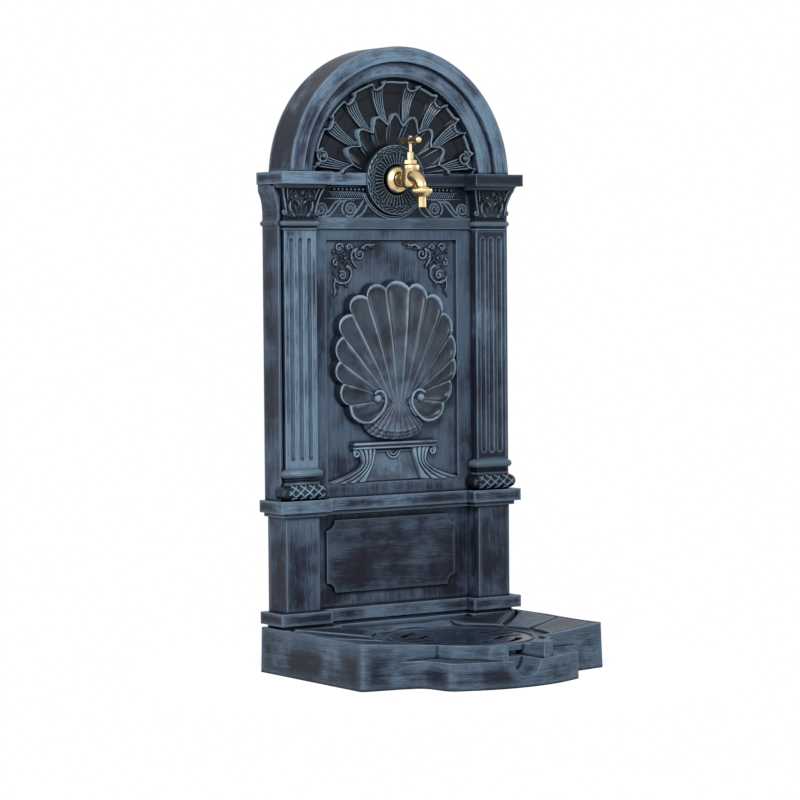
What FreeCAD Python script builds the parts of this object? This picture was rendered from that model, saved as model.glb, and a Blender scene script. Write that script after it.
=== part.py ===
import FreeCAD, Part
import math
import os
import Sketcher

Vector = FreeCAD.Vector
Rotation = FreeCAD.Rotation

# A garden wall fountain: a moulded column with an arched head stands at the back of a drained basin,
# and a brass bib tap comes out of the rosette under the arch.
# Frame: origin under the middle of the basin, X to the right, Y to the wall behind, Z up, millimetres.

SIZES = (
    ("basin_width", "390", "basin, side to side"),
    ("basin_depth", "330", "basin, wall to front"),
    ("basin_height", "60", "basin rim above the ground"),
    ("basin_draft", "1.6", "how far the basin's walls lean out at the foot"),
    ("basin_wall", "4", "basin wall and deck thickness"),
    ("basin_side", "6", "basin side walls at the foot"),
    ("wing_depth", "240", "wall to the front of the basin's wings"),
    ("corner_round", "9", "round of the wings' corners"),
    ("bow_half", "141", "half width of the bow at the wings"),
    ("bow_step", "10", "how far the bow's shoulder stands before the wing"),
    ("bow_neck_half", "112", "half width at the bow's hollow corner"),
    ("bow_nose_half", "104", "half width at the bow's round corner"),
    ("bow_nose_back", "25", "round corner behind the foremost line"),
    ("bow_hollow", "20", "radius of the bow's hollow corner"),
    ("bow_round", "20", "radius of the bow's round corner"),
    ("ledge_height", "35", "height of the bow's ledge"),
    ("ledge_inner", "86", "half width of the upper wall where it turns forward"),
    ("spout_width", "57", "width of the trough in the rim"),
    ("spout_floor", "34", "height of the trough's floor and of the sump's"),
    ("cheek", "8", "thickness of the cheeks beside the trough"),
    ("outlet_radius", "21", "half-round channel in the trough's floor"),
    ("outlet_length", "42", "length of that channel"),
    ("spout_length", "49", "length of the trough"),
    ("spout_mouth", "7", "height of the mouth between sump and trough"),
    ("deck_low", "53", "deck height at the inner edge of the pads"),
    ("deck_inner", "118", "radius of the pads' inner edge"),
    ("deck_rise", "7", "rise of the deck from its inner edge to the rim"),
    ("deck_run", "85", "run of that rise"),
    ("dish_foot", "30", "radius of the dish at its foot"),
    ("slope_half", "71", "half width of the slope behind the grate"),
    ("slope_run", "20", "run of that slope"),
    ("floor_height", "49", "height of the floor round the grate"),
    ("bowl_ahead", "18", "grate centre in front of the basin's middle"),
    ("side_rim", "5", "width of the rim along the sides"),
    ("side_groove", "3.5", "width of the groove inside that rim"),
    ("ring_radius", "97", "raised ring round the grate"),
    ("ring_width", "2.4", "width of that ring"),
    ("ring_height", "1.6", "height of that ring"),
    ("grate_radius", "92", "radius of the drain grate"),
    ("grate_thick", "4", "thickness of the drain grate"),
    ("grate_gap", "0.4", "gap between grate and basin"),
    ("grate_seat", "6", "width of the ledge that the grate rests on"),
    ("slot_width", "10", "width of a slot in the grate"),
    ("slot_pitch", "25", "pitch of the slots"),
    ("slot_inner", "43", "inner end of the straight slots from the middle"),
    ("slot_bend", "48", "bend of the bent slots from the middle"),
    ("slot_tip", "24", "inner end of the bent slots from the middle"),
    ("slot_outer", "84", "radius that the slots reach"),
    ("slot_swing", "16", "how far the bent slots swing away from the middle"),
    ("ring_slot", "76", "radius of the curved slots"),
    ("eye_place", "53", "round holes from the middle"),
    ("eye_radius", "6", "radius of the round holes"),
    ("seat_depth", "2", "depth of the column's seat in the deck"),
    ("lip_depth", "60", "wall to the front of the column's seat at its blocks"),
    ("lip_beam_depth", "47", "wall to the front of the seat at its middle"),
    ("lip_width", "3", "width of the lip in front of the seat"),
    ("lip_height", "1", "height of that lip above the rim"),
    ("screw_set", "20", "wall to the base screws"),
    ("wall", "4", "column wall thickness"),
    ("cover_thick", "3", "rear cover thickness"),
    ("cover_half", "182", "half width of the rear cover"),
    ("neck_height", "6.6", "neck under the plinth"),
    ("neck_half", "184", "half width of the neck"),
    ("neck_depth", "48", "wall to the front of the neck's blocks"),
    ("plinth_height", "16", "plinth moulding height"),
    ("block_inner", "116", "inner edge of the mouldings' blocks"),
    ("plinth_block_depth", "55", "wall to the plinth's blocks"),
    ("plinth_beam_depth", "38", "wall to the plinth's beam"),
    ("pedestal_height", "126.4", "height of the pedestal between the mouldings"),
    ("pedestal_half", "182", "half width of the pedestal"),
    ("pier_inner", "131", "inner edge of the pedestal's piers"),
    ("pier_depth", "46", "wall to the front of the piers"),
    ("recess_depth", "20", "wall to the pedestal's middle panel"),
    ("tablet_half", "105", "half width of the raised tablet"),
    ("tablet_low", "20", "tablet above the plinth"),
    ("tablet_height", "97", "tablet height"),
    ("tablet_thick", "5", "tablet thickness"),
    ("tablet_notch", "13", "radius of the tablet's hollow corners"),
    ("under_height", "5.6", "step under the middle moulding"),
    ("under_half", "188", "half width of that step"),
    ("under_block_depth", "50", "wall to the step's blocks"),
    ("middle_height", "16.1", "middle moulding height"),
    ("middle_block_depth", "56", "wall to the middle moulding's blocks"),
    ("middle_beam_depth", "41", "wall to the middle moulding's beam"),
    ("panel_height", "432.3", "height of the panel shell"),
    ("panel_half", "186.5", "half width of the panel shell"),
    ("panel_depth", "31", "wall to the front of the panel shell"),
    ("edge_width", "3.5", "width of the shell's raised outer edge"),
    ("edge_proud", "8", "how far that edge stands out"),
    ("field_half", "106.5", "half width of the sunken field"),
    ("field_low", "17.5", "field above the middle moulding"),
    ("field_height", "326", "height of the sunken field"),
    ("field_sink", "5", "depth of the sunken field"),
    ("pilaster_inner", "130.5", "inner edge of the pilasters"),
    ("pilaster_width", "49.5", "pilaster width"),
    ("pilaster_depth", "44", "wall to the front of the pilasters"),
    ("base_height", "41.3", "pilaster base height"),
    ("base_flare", "3.5", "how far the base is wider than its pilaster, each side"),
    ("roll_radius", "10", "radius of the base's large roll"),
    ("bead_radius", "4", "radius of the base's small roll"),
    ("shaft_height", "315", "pilaster shaft height"),
    ("flute_count", "3", "flutes on a pilaster"),
    ("flute_pitch", "13.8", "pitch of the flutes"),
    ("flute_radius", "3.3", "radius of a flute"),
    ("flute_end", "14", "plain ends above and below the flutes"),
    ("neck_ring", "3.5", "radius of the ring under the capital"),
    ("ring_rise", "8.7", "centre of that ring above the shaft"),
    ("capital_height", "60", "capital height with its ring"),
    ("bell_low", "16", "foot of the capital's bell above the shaft"),
    ("abacus_height", "5", "thickness of the capital's top slab"),
    ("bell_flare", "8", "how far the bell spreads each side"),
    ("bell_proud", "15", "how far the bell comes forward"),
    ("band_low", "44", "foot of the frieze under the cornice"),
    ("band_half", "122", "half width of the frieze"),
    ("band_thick", "5", "frieze thickness"),
    ("rail_proud", "2", "how far the rails stand before the frieze"),
    ("rail_top", "5", "height of the rail under the cornice"),
    ("rail_foot", "2.5", "height of the rail at the foot"),
    ("architrave_height", "14", "height of the plain band under the frieze"),
    ("architrave_proud", "3", "how far that band stands before the shell"),
    ("flare_height", "33", "height of the hollow moulding on the shell's sides"),
    ("flare_lip", "9", "height of that moulding's lip under the cornice"),
    ("flare_spread", "6.5", "how far the lip stands out"),
    ("flare_toe", "0.4", "step at the foot of that moulding"),
    ("cornice_height", "16", "cornice height"),
    ("cornice_block_depth", "65", "wall to the cornice's blocks"),
    ("cornice_beam_depth", "40", "wall to the cornice's beam"),
    ("arch_drop", "7", "arch centre under the cornice's top"),
    ("arch_radius", "176", "outside radius of the arch"),
    ("arch_band", "20", "width of the arch's outer band"),
    ("arch_step", "20", "width of the arch's inner band"),
    ("arch_depth", "57", "wall to the front of the arch"),
    ("arch_set", "9", "how far the inner band lies behind the outer"),
    ("tap_drop", "8.5", "tap axis under the cornice's top"),
    ("rosette_radius", "47", "rosette radius"),
    ("rosette_proud", "13", "how far the rosette stands before the shell"),
    ("rosette_rim", "3", "width of the rosette's rim"),
    ("rosette_dish", "2.5", "depth of the rosette inside its rim"),
    ("fan_outer_radius", "130", "outer fan's reach"),
    ("fan_inner_radius", "84", "inner fan's reach"),
    ("fan_notch", "9", "half width of the notches in the outer fan"),
    ("notch_depth", "7.2", "depth of those notches"),
    ("fan_pitch", "23", "angle between the outer fan's notches"),
    ("fan_thick", "11", "outer fan's thickness"),
    ("scoop_foot", "6", "radius of a flute where it leaves the inner fan"),
    ("scoop_tip", "17", "radius of that flute at the tip of its lobe"),
    ("scoop_run", "3", "how far the flutes run past both edges"),
    ("petal_thick", "4", "inner fan's thickness"),
    ("petal_count", "9", "petals of the inner fan"),
    ("petal_spread", "171", "angle that the petals take up"),
    ("petal_rise", "9", "height of a petal above the dips beside it"),
    ("shell_low", "108.8", "shell hinge above the field's foot"),
    ("shell_thick", "10", "shell thickness at its rim"),
    ("dome_radius", "500", "radius of the shell's dome"),
    ("shell_centre", "70", "shell's middle above its hinge"),
    ("shell_crown", "7", "how far the shell's middle rises above its rim"),
    ("flute_sink", "4.5", "depth of the shell's flutes at the rim"),
    ("flute_curve", "20", "radius of a shell flute at the rim"),
    ("volute_place", "32", "shell's two balls from the middle"),
    ("volute_radius", "5", "radius of those balls"),
    ("foot_half", "34", "half width of the shell foot"),
    ("foot_waist", "14", "half width of the foot at its waist"),
    ("waist_height", "33", "height of the waist of that foot"),
    ("stand_slab", "8", "thickness of the stand's slab"),
    ("stand_slab_half", "70", "half width of that slab"),
    ("stand_thick", "10", "stand's depth before the field"),
    ("leg_thick", "7", "thickness of the stand legs"),
    ("apron_thick", "3", "thickness of the apron between them"),
    ("stand_leg_top", "30", "inner edge of a leg at the slab"),
    ("stand_leg_waist", "62", "outer edge of a leg at the slab"),
    ("stand_foot_inner", "45", "inner edge of a leg at the foot"),
    ("stand_toe", "0.5", "gap between a leg's toe and the field's side"),
    ("stand_height", "54", "stand's height"),
    ("spray_reach", "70", "length of the arms of a corner spray"),
    ("spray_width", "34", "width of the middle of a corner spray"),
    ("arm_width", "25", "width of the arms of a corner spray"),
    ("spray_side", "12", "spray from the side of the field"),
    ("spray_top", "5", "spray from the top of the field"),
    ("spray_thick", "3", "spray thickness"),
    ("spigot_radius", "8.33", "radius of the tap's threaded shank"),
    ("fit", "0.05", "running clearance, radial"),
    ("ease", "0.3", "free clearance between pieces"),
    ("flange_radius", "18", "tap flange radius"),
    ("flange_neck", "9.9", "tap flange radius at the neck"),
    ("flange_thick", "8", "tap flange thickness"),
    ("tap_neck_radius", "7.6", "tap neck radius"),
    ("tap_reach", "31", "barrel axis before the rosette"),
    ("barrel_radius", "12", "tap barrel radius"),
    ("barrel_low", "10", "barrel foot under the tap axis"),
    ("barrel_foot", "8.6", "barrel radius at its foot"),
    ("barrel_high", "19", "barrel top above the tap axis"),
    ("seat_bore", "3.2", "valve seat bore radius"),
    ("seat_rise", "3.5", "valve seat above the tap axis"),
    ("seat_web", "2", "thickness of the valve seat's web"),
    ("chamber_radius", "7.5", "valve chamber radius"),
    ("lower_chamber", "4.7", "radius of the chamber under the seat"),
    ("inlet_drop", "2", "inlet way under the tap axis"),
    ("water_radius", "3", "radius of the inlet and outlet ways"),
    ("spout_reach", "26", "outlet before the barrel's axis"),
    ("spout_radius", "6.2", "spout radius"),
    ("spout_drop", "18.3", "foot of the spout's thread under the tap axis"),
    ("spout_rise", "7", "spout axis above the tap axis"),
    ("spout_bend", "12", "spout bend radius"),
    ("thread_radius", "10.5", "radius of the outlet's thread"),
    ("thread_height", "6", "height of the outlet's thread"),
    ("bonnet_flat", "15.8", "bonnet hexagon, across flats"),
    ("bonnet_hex", "5.2", "bonnet hexagon height"),
    ("bonnet_shank", "9", "bonnet's length inside the barrel"),
    ("gasket_thick", "0.8", "bonnet gasket thickness"),
    ("screw_radius", "4.2", "spindle thread radius"),
    ("screw_length", "7", "spindle thread length"),
    ("stem_radius", "2.3", "spindle radius"),
    ("packing_height", "2.5", "gland packing height"),
    ("gland_radius", "3.9", "gland nut radius"),
    ("gland_shank", "3.4", "gland nut shank radius"),
    ("gland_sink", "3", "gland nut's length inside the bonnet"),
    ("gland_height", "10.4", "gland nut above the bonnet"),
    ("jumper_radius", "5.2", "jumper disc radius"),
    ("jumper_thick", "1.2", "jumper disc thickness"),
    ("jumper_stem", "1.8", "jumper stem radius"),
    ("jumper_length", "6.5", "jumper stem length"),
    ("seal_thick", "2.5", "rubber valve seal thickness"),
    ("handle_height", "51.5", "handle's axis above the tap axis"),
    ("handle_length", "45", "handle's length"),
    ("handle_radius", "2.5", "handle bar radius"),
    ("knob_radius", "3.5", "radius of the handle's ball ends"),
    ("hub_radius", "4.4", "handle hub radius"),
    ("hub_height", "9", "handle hub height"),
    ("hub_screw", "1.3", "handle screw radius"),
    ("union_radius", "14.3", "union nut radius"),
    ("union_height", "8", "union nut height"),
    ("union_taper", "2.1", "height of the taper under the union nut"),
    ("union_foot", "8.7", "radius at the foot of that taper"),
    ("union_back", "1.2", "union nut below the thread's top"),
    ("union_rib", "0.7", "radius of the union nut's ribs"),
    ("union_ribs", "36", "ribs round the union nut"),
    ("tail_radius", "6", "hose tail radius"),
    ("tail_neck", "6.4", "hose tail radius inside the union nut"),
    ("tail_shoulder", "0.8", "length of that neck under the union nut"),
    ("tail_bore", "4.2", "hose tail bore radius"),
    ("tail_length", "14.4", "hose tail below the union nut"),
    ("tail_flange", "10.2", "hose tail collar radius"),
    ("tail_collar", "2", "hose tail collar thickness"),
    ("tail_washer", "1.6", "hose washer thickness"),
    ("lock_flat", "24", "lock nut, across flats"),
    ("lock_thick", "3", "lock nut thickness"),
    ("plate_half", "45", "half width of the backing plate"),
    ("plate_height", "40", "backing plate height"),
    ("plate_thick", "2.5", "backing plate thickness"),
    ("elbow_radius", "10.6", "inlet elbow's socket radius"),
    ("elbow_length", "18", "inlet elbow's socket length"),
    ("leg_set", "11", "elbow leg behind the socket's end"),
    ("shank_bite", "6.5", "length of the shank inside the elbow"),
    ("elbow_end", "3", "wall at the elbow socket's end"),
    ("inlet_bore", "3.2", "inlet tail bore radius"),
    ("leg_radius", "6.5", "radius of the elbow's leg"),
    ("leg_length", "26", "length of the elbow's leg"),
    ("inlet_radius", "5", "inlet tail radius"),
    ("inlet_length", "30", "inlet tail length"),
    ("cover_screw", "1.6", "cover screw radius"),
    ("cover_head", "3.2", "cover screw head radius"),
    ("cover_head_height", "1.8", "cover screw head height"),
    ("cover_bite", "12", "length of a cover screw in its boss"),
    ("boss_radius", "5", "screw boss radius"),
    ("boss_inset", "14", "screw bosses from the cover's edge"),
    ("base_screw", "2", "base screw radius"),
    ("base_head", "4", "base screw head radius"),
    ("base_head_height", "2.5", "base screw head height"),
    ("base_bite", "14", "length of a base screw in the plinth"),
    ("base_screw_inner", "60", "inner base screws from the middle"),
    ("base_screw_outer", "160", "outer base screws from the middle"),
    ("hose_half", "13", "half width of the hose exit in the rear cover"),
    ("hose_low", "12", "hose exit above the middle moulding"),
    ("hose_height", "70", "height of the hose exit"),
    ("hook_radius", "4", "radius of the wall hook holes"),
    ("hook_spacing", "220", "spacing of the wall hook holes"),
    ("hook_drop", "50", "wall hook holes under the cornice's top"),
)


class Size:
    """A length that keeps both its number and its formula in the sheet's cells."""

    def __init__(self, number, formula):
        self.number = float(number)
        self.formula = formula

    def __float__(self):
        return self.number

    def __add__(self, other):
        return Size(self.number + float(other), f"({self.formula} + {formula_of(other)})")

    def __radd__(self, other):
        return Size(float(other) + self.number, f"({formula_of(other)} + {self.formula})")

    def __sub__(self, other):
        return Size(self.number - float(other), f"({self.formula} - {formula_of(other)})")

    def __rsub__(self, other):
        return Size(float(other) - self.number, f"({formula_of(other)} - {self.formula})")

    def __mul__(self, other):
        return Size(self.number * float(other), f"({self.formula} * {formula_of(other)})")

    __rmul__ = __mul__

    def __truediv__(self, other):
        return Size(self.number / float(other), f"({self.formula} / {formula_of(other)})")

    def __neg__(self):
        return self * -1


def formula_of(value):
    """The formula of a size, or the number itself."""
    return value.formula if isinstance(value, Size) else repr(float(value))


doc = FreeCAD.newDocument("wall_fountain")
sheet = doc.addObject("Spreadsheet::Sheet", "sizes")
for row, (alias, number, note) in enumerate(SIZES, 1):
    sheet.set(f"A{row}", note)
    sheet.set(f"B{row}", number)
    sheet.setAlias(f"B{row}", alias)
doc.recompute()


class Book:
    """The sheet's cells, each read by its alias."""

    def __getattr__(self, alias):
        return Size(getattr(sheet, alias), f"sizes.{alias}")


s = Book()
nodes = []


def bind(item, path, value):
    """Tie a property to a formula, or set it where the value is a plain number."""
    item.setExpression(path, formula_of(value))


def place(item, position, rotation=None):
    """Put an object at a point whose coordinates may be formulas."""
    if rotation is not None:
        item.Placement = FreeCAD.Placement(Vector(), rotation)
    for axis, value in zip("xyz", position):
        bind(item, f"Placement.Base.{axis}", value)


def box(name, x_span, y_span, z_span):
    """A box between two X, two Y and two Z values, in either order."""
    item = doc.addObject("Part::Box", name)
    spans = [sorted(span, key=float) for span in (x_span, y_span, z_span)]
    for path, (low, high) in zip(("Length", "Width", "Height"), spans):
        bind(item, path, high - low)
    place(item, [low for low, high in spans])
    return item


TURNS = {"x": Rotation(Vector(0, 1, 0), 90), "y": Rotation(Vector(1, 0, 0), -90), "z": Rotation()}


def rod(name, radius, start, length, axis="z"):
    """A cylinder from a start point along an axis."""
    item = doc.addObject("Part::Cylinder", name)
    bind(item, "Radius", radius)
    bind(item, "Height", length)
    place(item, start, TURNS[axis])
    return item


def cone(name, first, second, start, length, axis="z"):
    """A cone whose radius goes from the first to the second along an axis."""
    item = doc.addObject("Part::Cone", name)
    bind(item, "Radius1", first)
    bind(item, "Radius2", second)
    bind(item, "Height", length)
    place(item, start, TURNS[axis])
    return item


def ball(name, radius, centre):
    """A sphere at a centre."""
    item = doc.addObject("Part::Sphere", name)
    bind(item, "Radius", radius)
    place(item, centre)
    return item


def hexagon(name, flat, start, length, axis="z"):
    """A hexagonal bar, sized across its flats."""
    item = doc.addObject("Part::Prism", name)
    item.Polygon = 6
    bind(item, "Circumradius", flat / math.sqrt(3))
    bind(item, "Height", length)
    place(item, start, TURNS[axis])
    return item


def fuse(name, items):
    """One solid from several."""
    item = doc.addObject("Part::MultiFuse", name)
    item.Shapes = items
    item.Refine = True
    return item


def cut(name, base, tools):
    """A solid with others taken away."""
    item = doc.addObject("Part::Cut", name)
    item.Base = base
    item.Tool = tools[0] if len(tools) == 1 else fuse(f"{name}_tools", tools)
    item.Refine = True
    return item


def common(name, first, second):
    """What two solids share."""
    item = doc.addObject("Part::Common", name)
    item.Base = first
    item.Tool = second
    return item


def shaped(name, shape):
    """An object that holds a shape built by formula from the sheet's sizes."""
    item = doc.addObject("Part::Feature", name)
    item.Shape = shape
    return item


def group(name, items):
    """Separate solids that share one node."""
    item = doc.addObject("Part::Compound", name)
    item.Links = items
    return item


def node(label, item):
    """Name a finished piece, which gives its file its name."""
    item.Label = label
    nodes.append(item)
    return item


PLANES = {
    "front": Rotation(Vector(1, 0, 0), 90),
    "side": Rotation(Vector(1, 1, 1), 120),
    "top": Rotation(),
}


def outline(name, plane, level, points):
    """A closed sketch whose corners are tied to the sheet; the front plane's normal points to -Y."""
    sketch = doc.addObject("Sketcher::SketchObject", name)
    corners = [Vector(float(across), float(up), 0) for across, up in points]
    for index, corner in enumerate(corners):
        sketch.addGeometry(Part.LineSegment(corner, corners[(index + 1) % len(corners)]))
    for index, (across, up) in enumerate(points):
        sketch.addConstraint(Sketcher.Constraint("Coincident", index, 2, (index + 1) % len(corners), 1))
        for kind, value in (("DistanceX", across), ("DistanceY", up)):
            number = sketch.addConstraint(Sketcher.Constraint(kind, index, 1, float(value)))
            bind(sketch, f"Constraints[{number}]", value)
    position = {"front": (0, level, 0), "side": (level, 0, 0), "top": (0, 0, level)}[plane]
    place(sketch, position, PLANES[plane])
    return sketch


def plate(name, plane, level, thickness, points):
    """An outline pushed out along its plane's normal."""
    item = doc.addObject("Part::Extrusion", name)
    item.Base = outline(f"{name}_outline", plane, level, points)
    item.DirMode = "Normal"
    bind(item, "LengthFwd", thickness)
    item.Solid = True
    return item


def turned(name, plane, level, points, centre, direction, angle=360):
    """An outline turned about a line through a centre."""
    item = doc.addObject("Part::Revolution", name)
    item.Source = outline(f"{name}_outline", plane, level, points)
    item.Axis = direction
    for axis, value in zip("xyz", centre):
        bind(item, f"Base.{axis}", value)
    item.Angle = angle
    item.Solid = True
    return item


# Levels and planes that several pieces share
back = s.basin_depth / 2
front = -back
basin_half = s.basin_width / 2
cover_face = back - s.cover_thick
seat_level = s.basin_height - s.seat_depth
plinth_low = seat_level + s.neck_height
plinth_top = plinth_low + s.plinth_height
pedestal_top = plinth_top + s.pedestal_height
middle_low = pedestal_top + s.under_height
middle_top = middle_low + s.middle_height
cornice_top = middle_top + s.panel_height
cornice_low = cornice_top - s.cornice_height
shell_face = back - s.panel_depth
shell_back = shell_face + s.wall
field_face = shell_face + s.field_sink
field_low = middle_top + s.field_low
field_top = field_low + s.field_height
arch_level = cornice_top - s.arch_drop
tap_level = cornice_top - s.tap_drop
rosette_face = shell_face - s.rosette_proud
tap_line = rosette_face - s.tap_reach
bowl_y = -s.bowl_ahead
base_top = middle_top + s.base_height
shaft_top = base_top + s.shaft_height
over = 1.0


# Share of a side that the round at one of its ends may take up
ROUND_SHARE = 0.49


def rounded(corners, level):
    """A closed level wire through corners, each with its own round; a radius of nought keeps it sharp.
    A round that is too large for its sides is made smaller."""
    count = len(corners)
    starts, ends, middles = [], [], []
    for index, (x, y, radius) in enumerate(corners):
        here = Vector(x, y, level)
        before = Vector(corners[index - 1][0], corners[index - 1][1], level) - here
        after = Vector(corners[(index + 1) % count][0], corners[(index + 1) % count][1], level) - here
        room = min(before.Length, after.Length) * ROUND_SHARE
        before.normalize()
        after.normalize()
        half = before.getAngle(after) / 2
        reach = min(radius / math.tan(half), room)
        radius = reach * math.tan(half)
        starts.append(here + before * reach)
        ends.append(here + after * reach)
        toward = before + after
        toward.normalize()
        middles.append(here + toward * (radius / math.sin(half) - radius))
    edges = []
    for index in range(count):
        if corners[index][2] > 0:
            edges.append(Part.Arc(starts[index], middles[index], ends[index]).toShape())
        edges.append(Part.makeLine(ends[index], starts[(index + 1) % count]))
    return Part.Wire(edges)


def mirrored(half):
    """Corners of the right half, front to back, completed by their mirror images."""
    return [(-x, y, radius) for x, y, radius in reversed(half)] + half


def bow_radius():
    """Radius of the bow's foremost line, from its half width and its rise."""
    nose = float(s.bow_nose_half)
    sag = float(s.bow_nose_back)
    return (nose * nose + sag * sag) / (2 * sag)


def bow_front(half_width):
    """Foremost line of the bow at a distance from the middle: one shallow arc."""
    radius = bow_radius()
    return float(front) + radius - math.sqrt(radius * radius - half_width * half_width)


# Corners of the upper wall: share of the wall's half width, share of the way from the foremost line to
# the shoulder, and the corner's round
UPPER_WALL = ((0.605, 0.165, 9), (0.7, 0.42, 9), (0.93, 0.67, 10), (1, 1, 0))
# The bow's arc is built from this many corners, each rounded by this share of the arc's radius
BOW_PARTS = 3
BOW_SHARE = 0.8


def basin_corners(spread, upper):
    """Plan of the basin's walls, moved out by a spread; the upper wall stands behind the ledge."""
    wing = float(back - s.wing_depth)
    shoulder = wing - float(s.bow_step)
    side = float(basin_half) + spread
    if upper:
        cheek_edge = float(s.spout_width) / 2 + float(s.cheek)
        curve = [(cheek_edge + spread, bow_front(cheek_edge) - spread, 0)]
        reach = shoulder - float(front)
        for across, behind, radius in UPPER_WALL:
            x = float(s.ledge_inner) * across + spread
            curve.append((x, float(front) + reach * behind - spread, radius))
    else:
        radius = bow_radius()
        turn = math.asin(float(s.bow_nose_half) / radius) / BOW_PARTS
        vertex = radius / math.cos(turn / 2)
        curve = []
        for index in range(BOW_PARTS):
            angle = turn * (index + 0.5)
            curve.append((vertex * math.sin(angle), float(front) + radius - spread - vertex * math.cos(angle),
                          radius * BOW_SHARE))
        nose = float(s.bow_nose_half) + spread
        neck = float(s.bow_neck_half) + spread
        curve[-1] = (nose, float(front + s.bow_nose_back) - spread, float(s.bow_round))
        curve.append((neck, shoulder - float(s.bow_step) - spread, float(s.bow_hollow)))
    half = curve + [
        (float(s.bow_half), shoulder - spread, 0),
        (side, wing - spread, float(s.corner_round)),
        (side, float(back), 0),
    ]
    return mirrored(half)


def basin_prism(name, upper, low, high, low_spread, high_spread):
    """A prism of the basin's plan between two levels, each with its own spread."""
    wires = [rounded(basin_corners(spread, upper), float(level))
             for level, spread in ((low, low_spread), (high, high_spread))]
    return shaped(name, Part.makeLoft(wires, True, True))


def lean(level):
    """How far the leaning walls stand inside the full plan at a level."""
    return -float(s.basin_draft) * float(level) / float(s.basin_height)


def deck_space():
    """Space above the dished deck, which rises from the grate toward the rim."""
    slope = s.deck_rise / s.deck_run
    reach = s.basin_width
    low = s.deck_low - (s.deck_inner - s.dish_foot) * slope
    return cone("deck_space", s.dish_foot, reach, (0, bowl_y, low), (reach - s.dish_foot) * slope)


# Grooves between the deck's pads: distance of the inner end from the side, its place behind the grate's
# middle, the outer end's place, and the half width at both ends
GROOVES = (
    ("back", 88, 49, 123, 8, 7.5),
    ("middle", 80, 2, 36, 6, 2.5),
    ("front", 90, -59, -38, 3, 2),
)


def seat_plan(name, grow, low, high):
    """The column's seat, deeper at the two blocks, or the same plan grown forward and inward."""
    parts = [box(f"{name}_middle", (-s.neck_half - s.ease, s.neck_half + s.ease),
                 (back - s.lip_beam_depth - grow, back + over), (low, high))]
    for side in (-1, 1):
        parts.append(box(f"{name}_side_{side}", (side * (s.block_inner - s.side_rim - grow),
                                                 side * (s.neck_half + s.ease)),
                         (back - s.lip_depth - grow, back + over), (low, high)))
    return fuse(name, parts)


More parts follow.
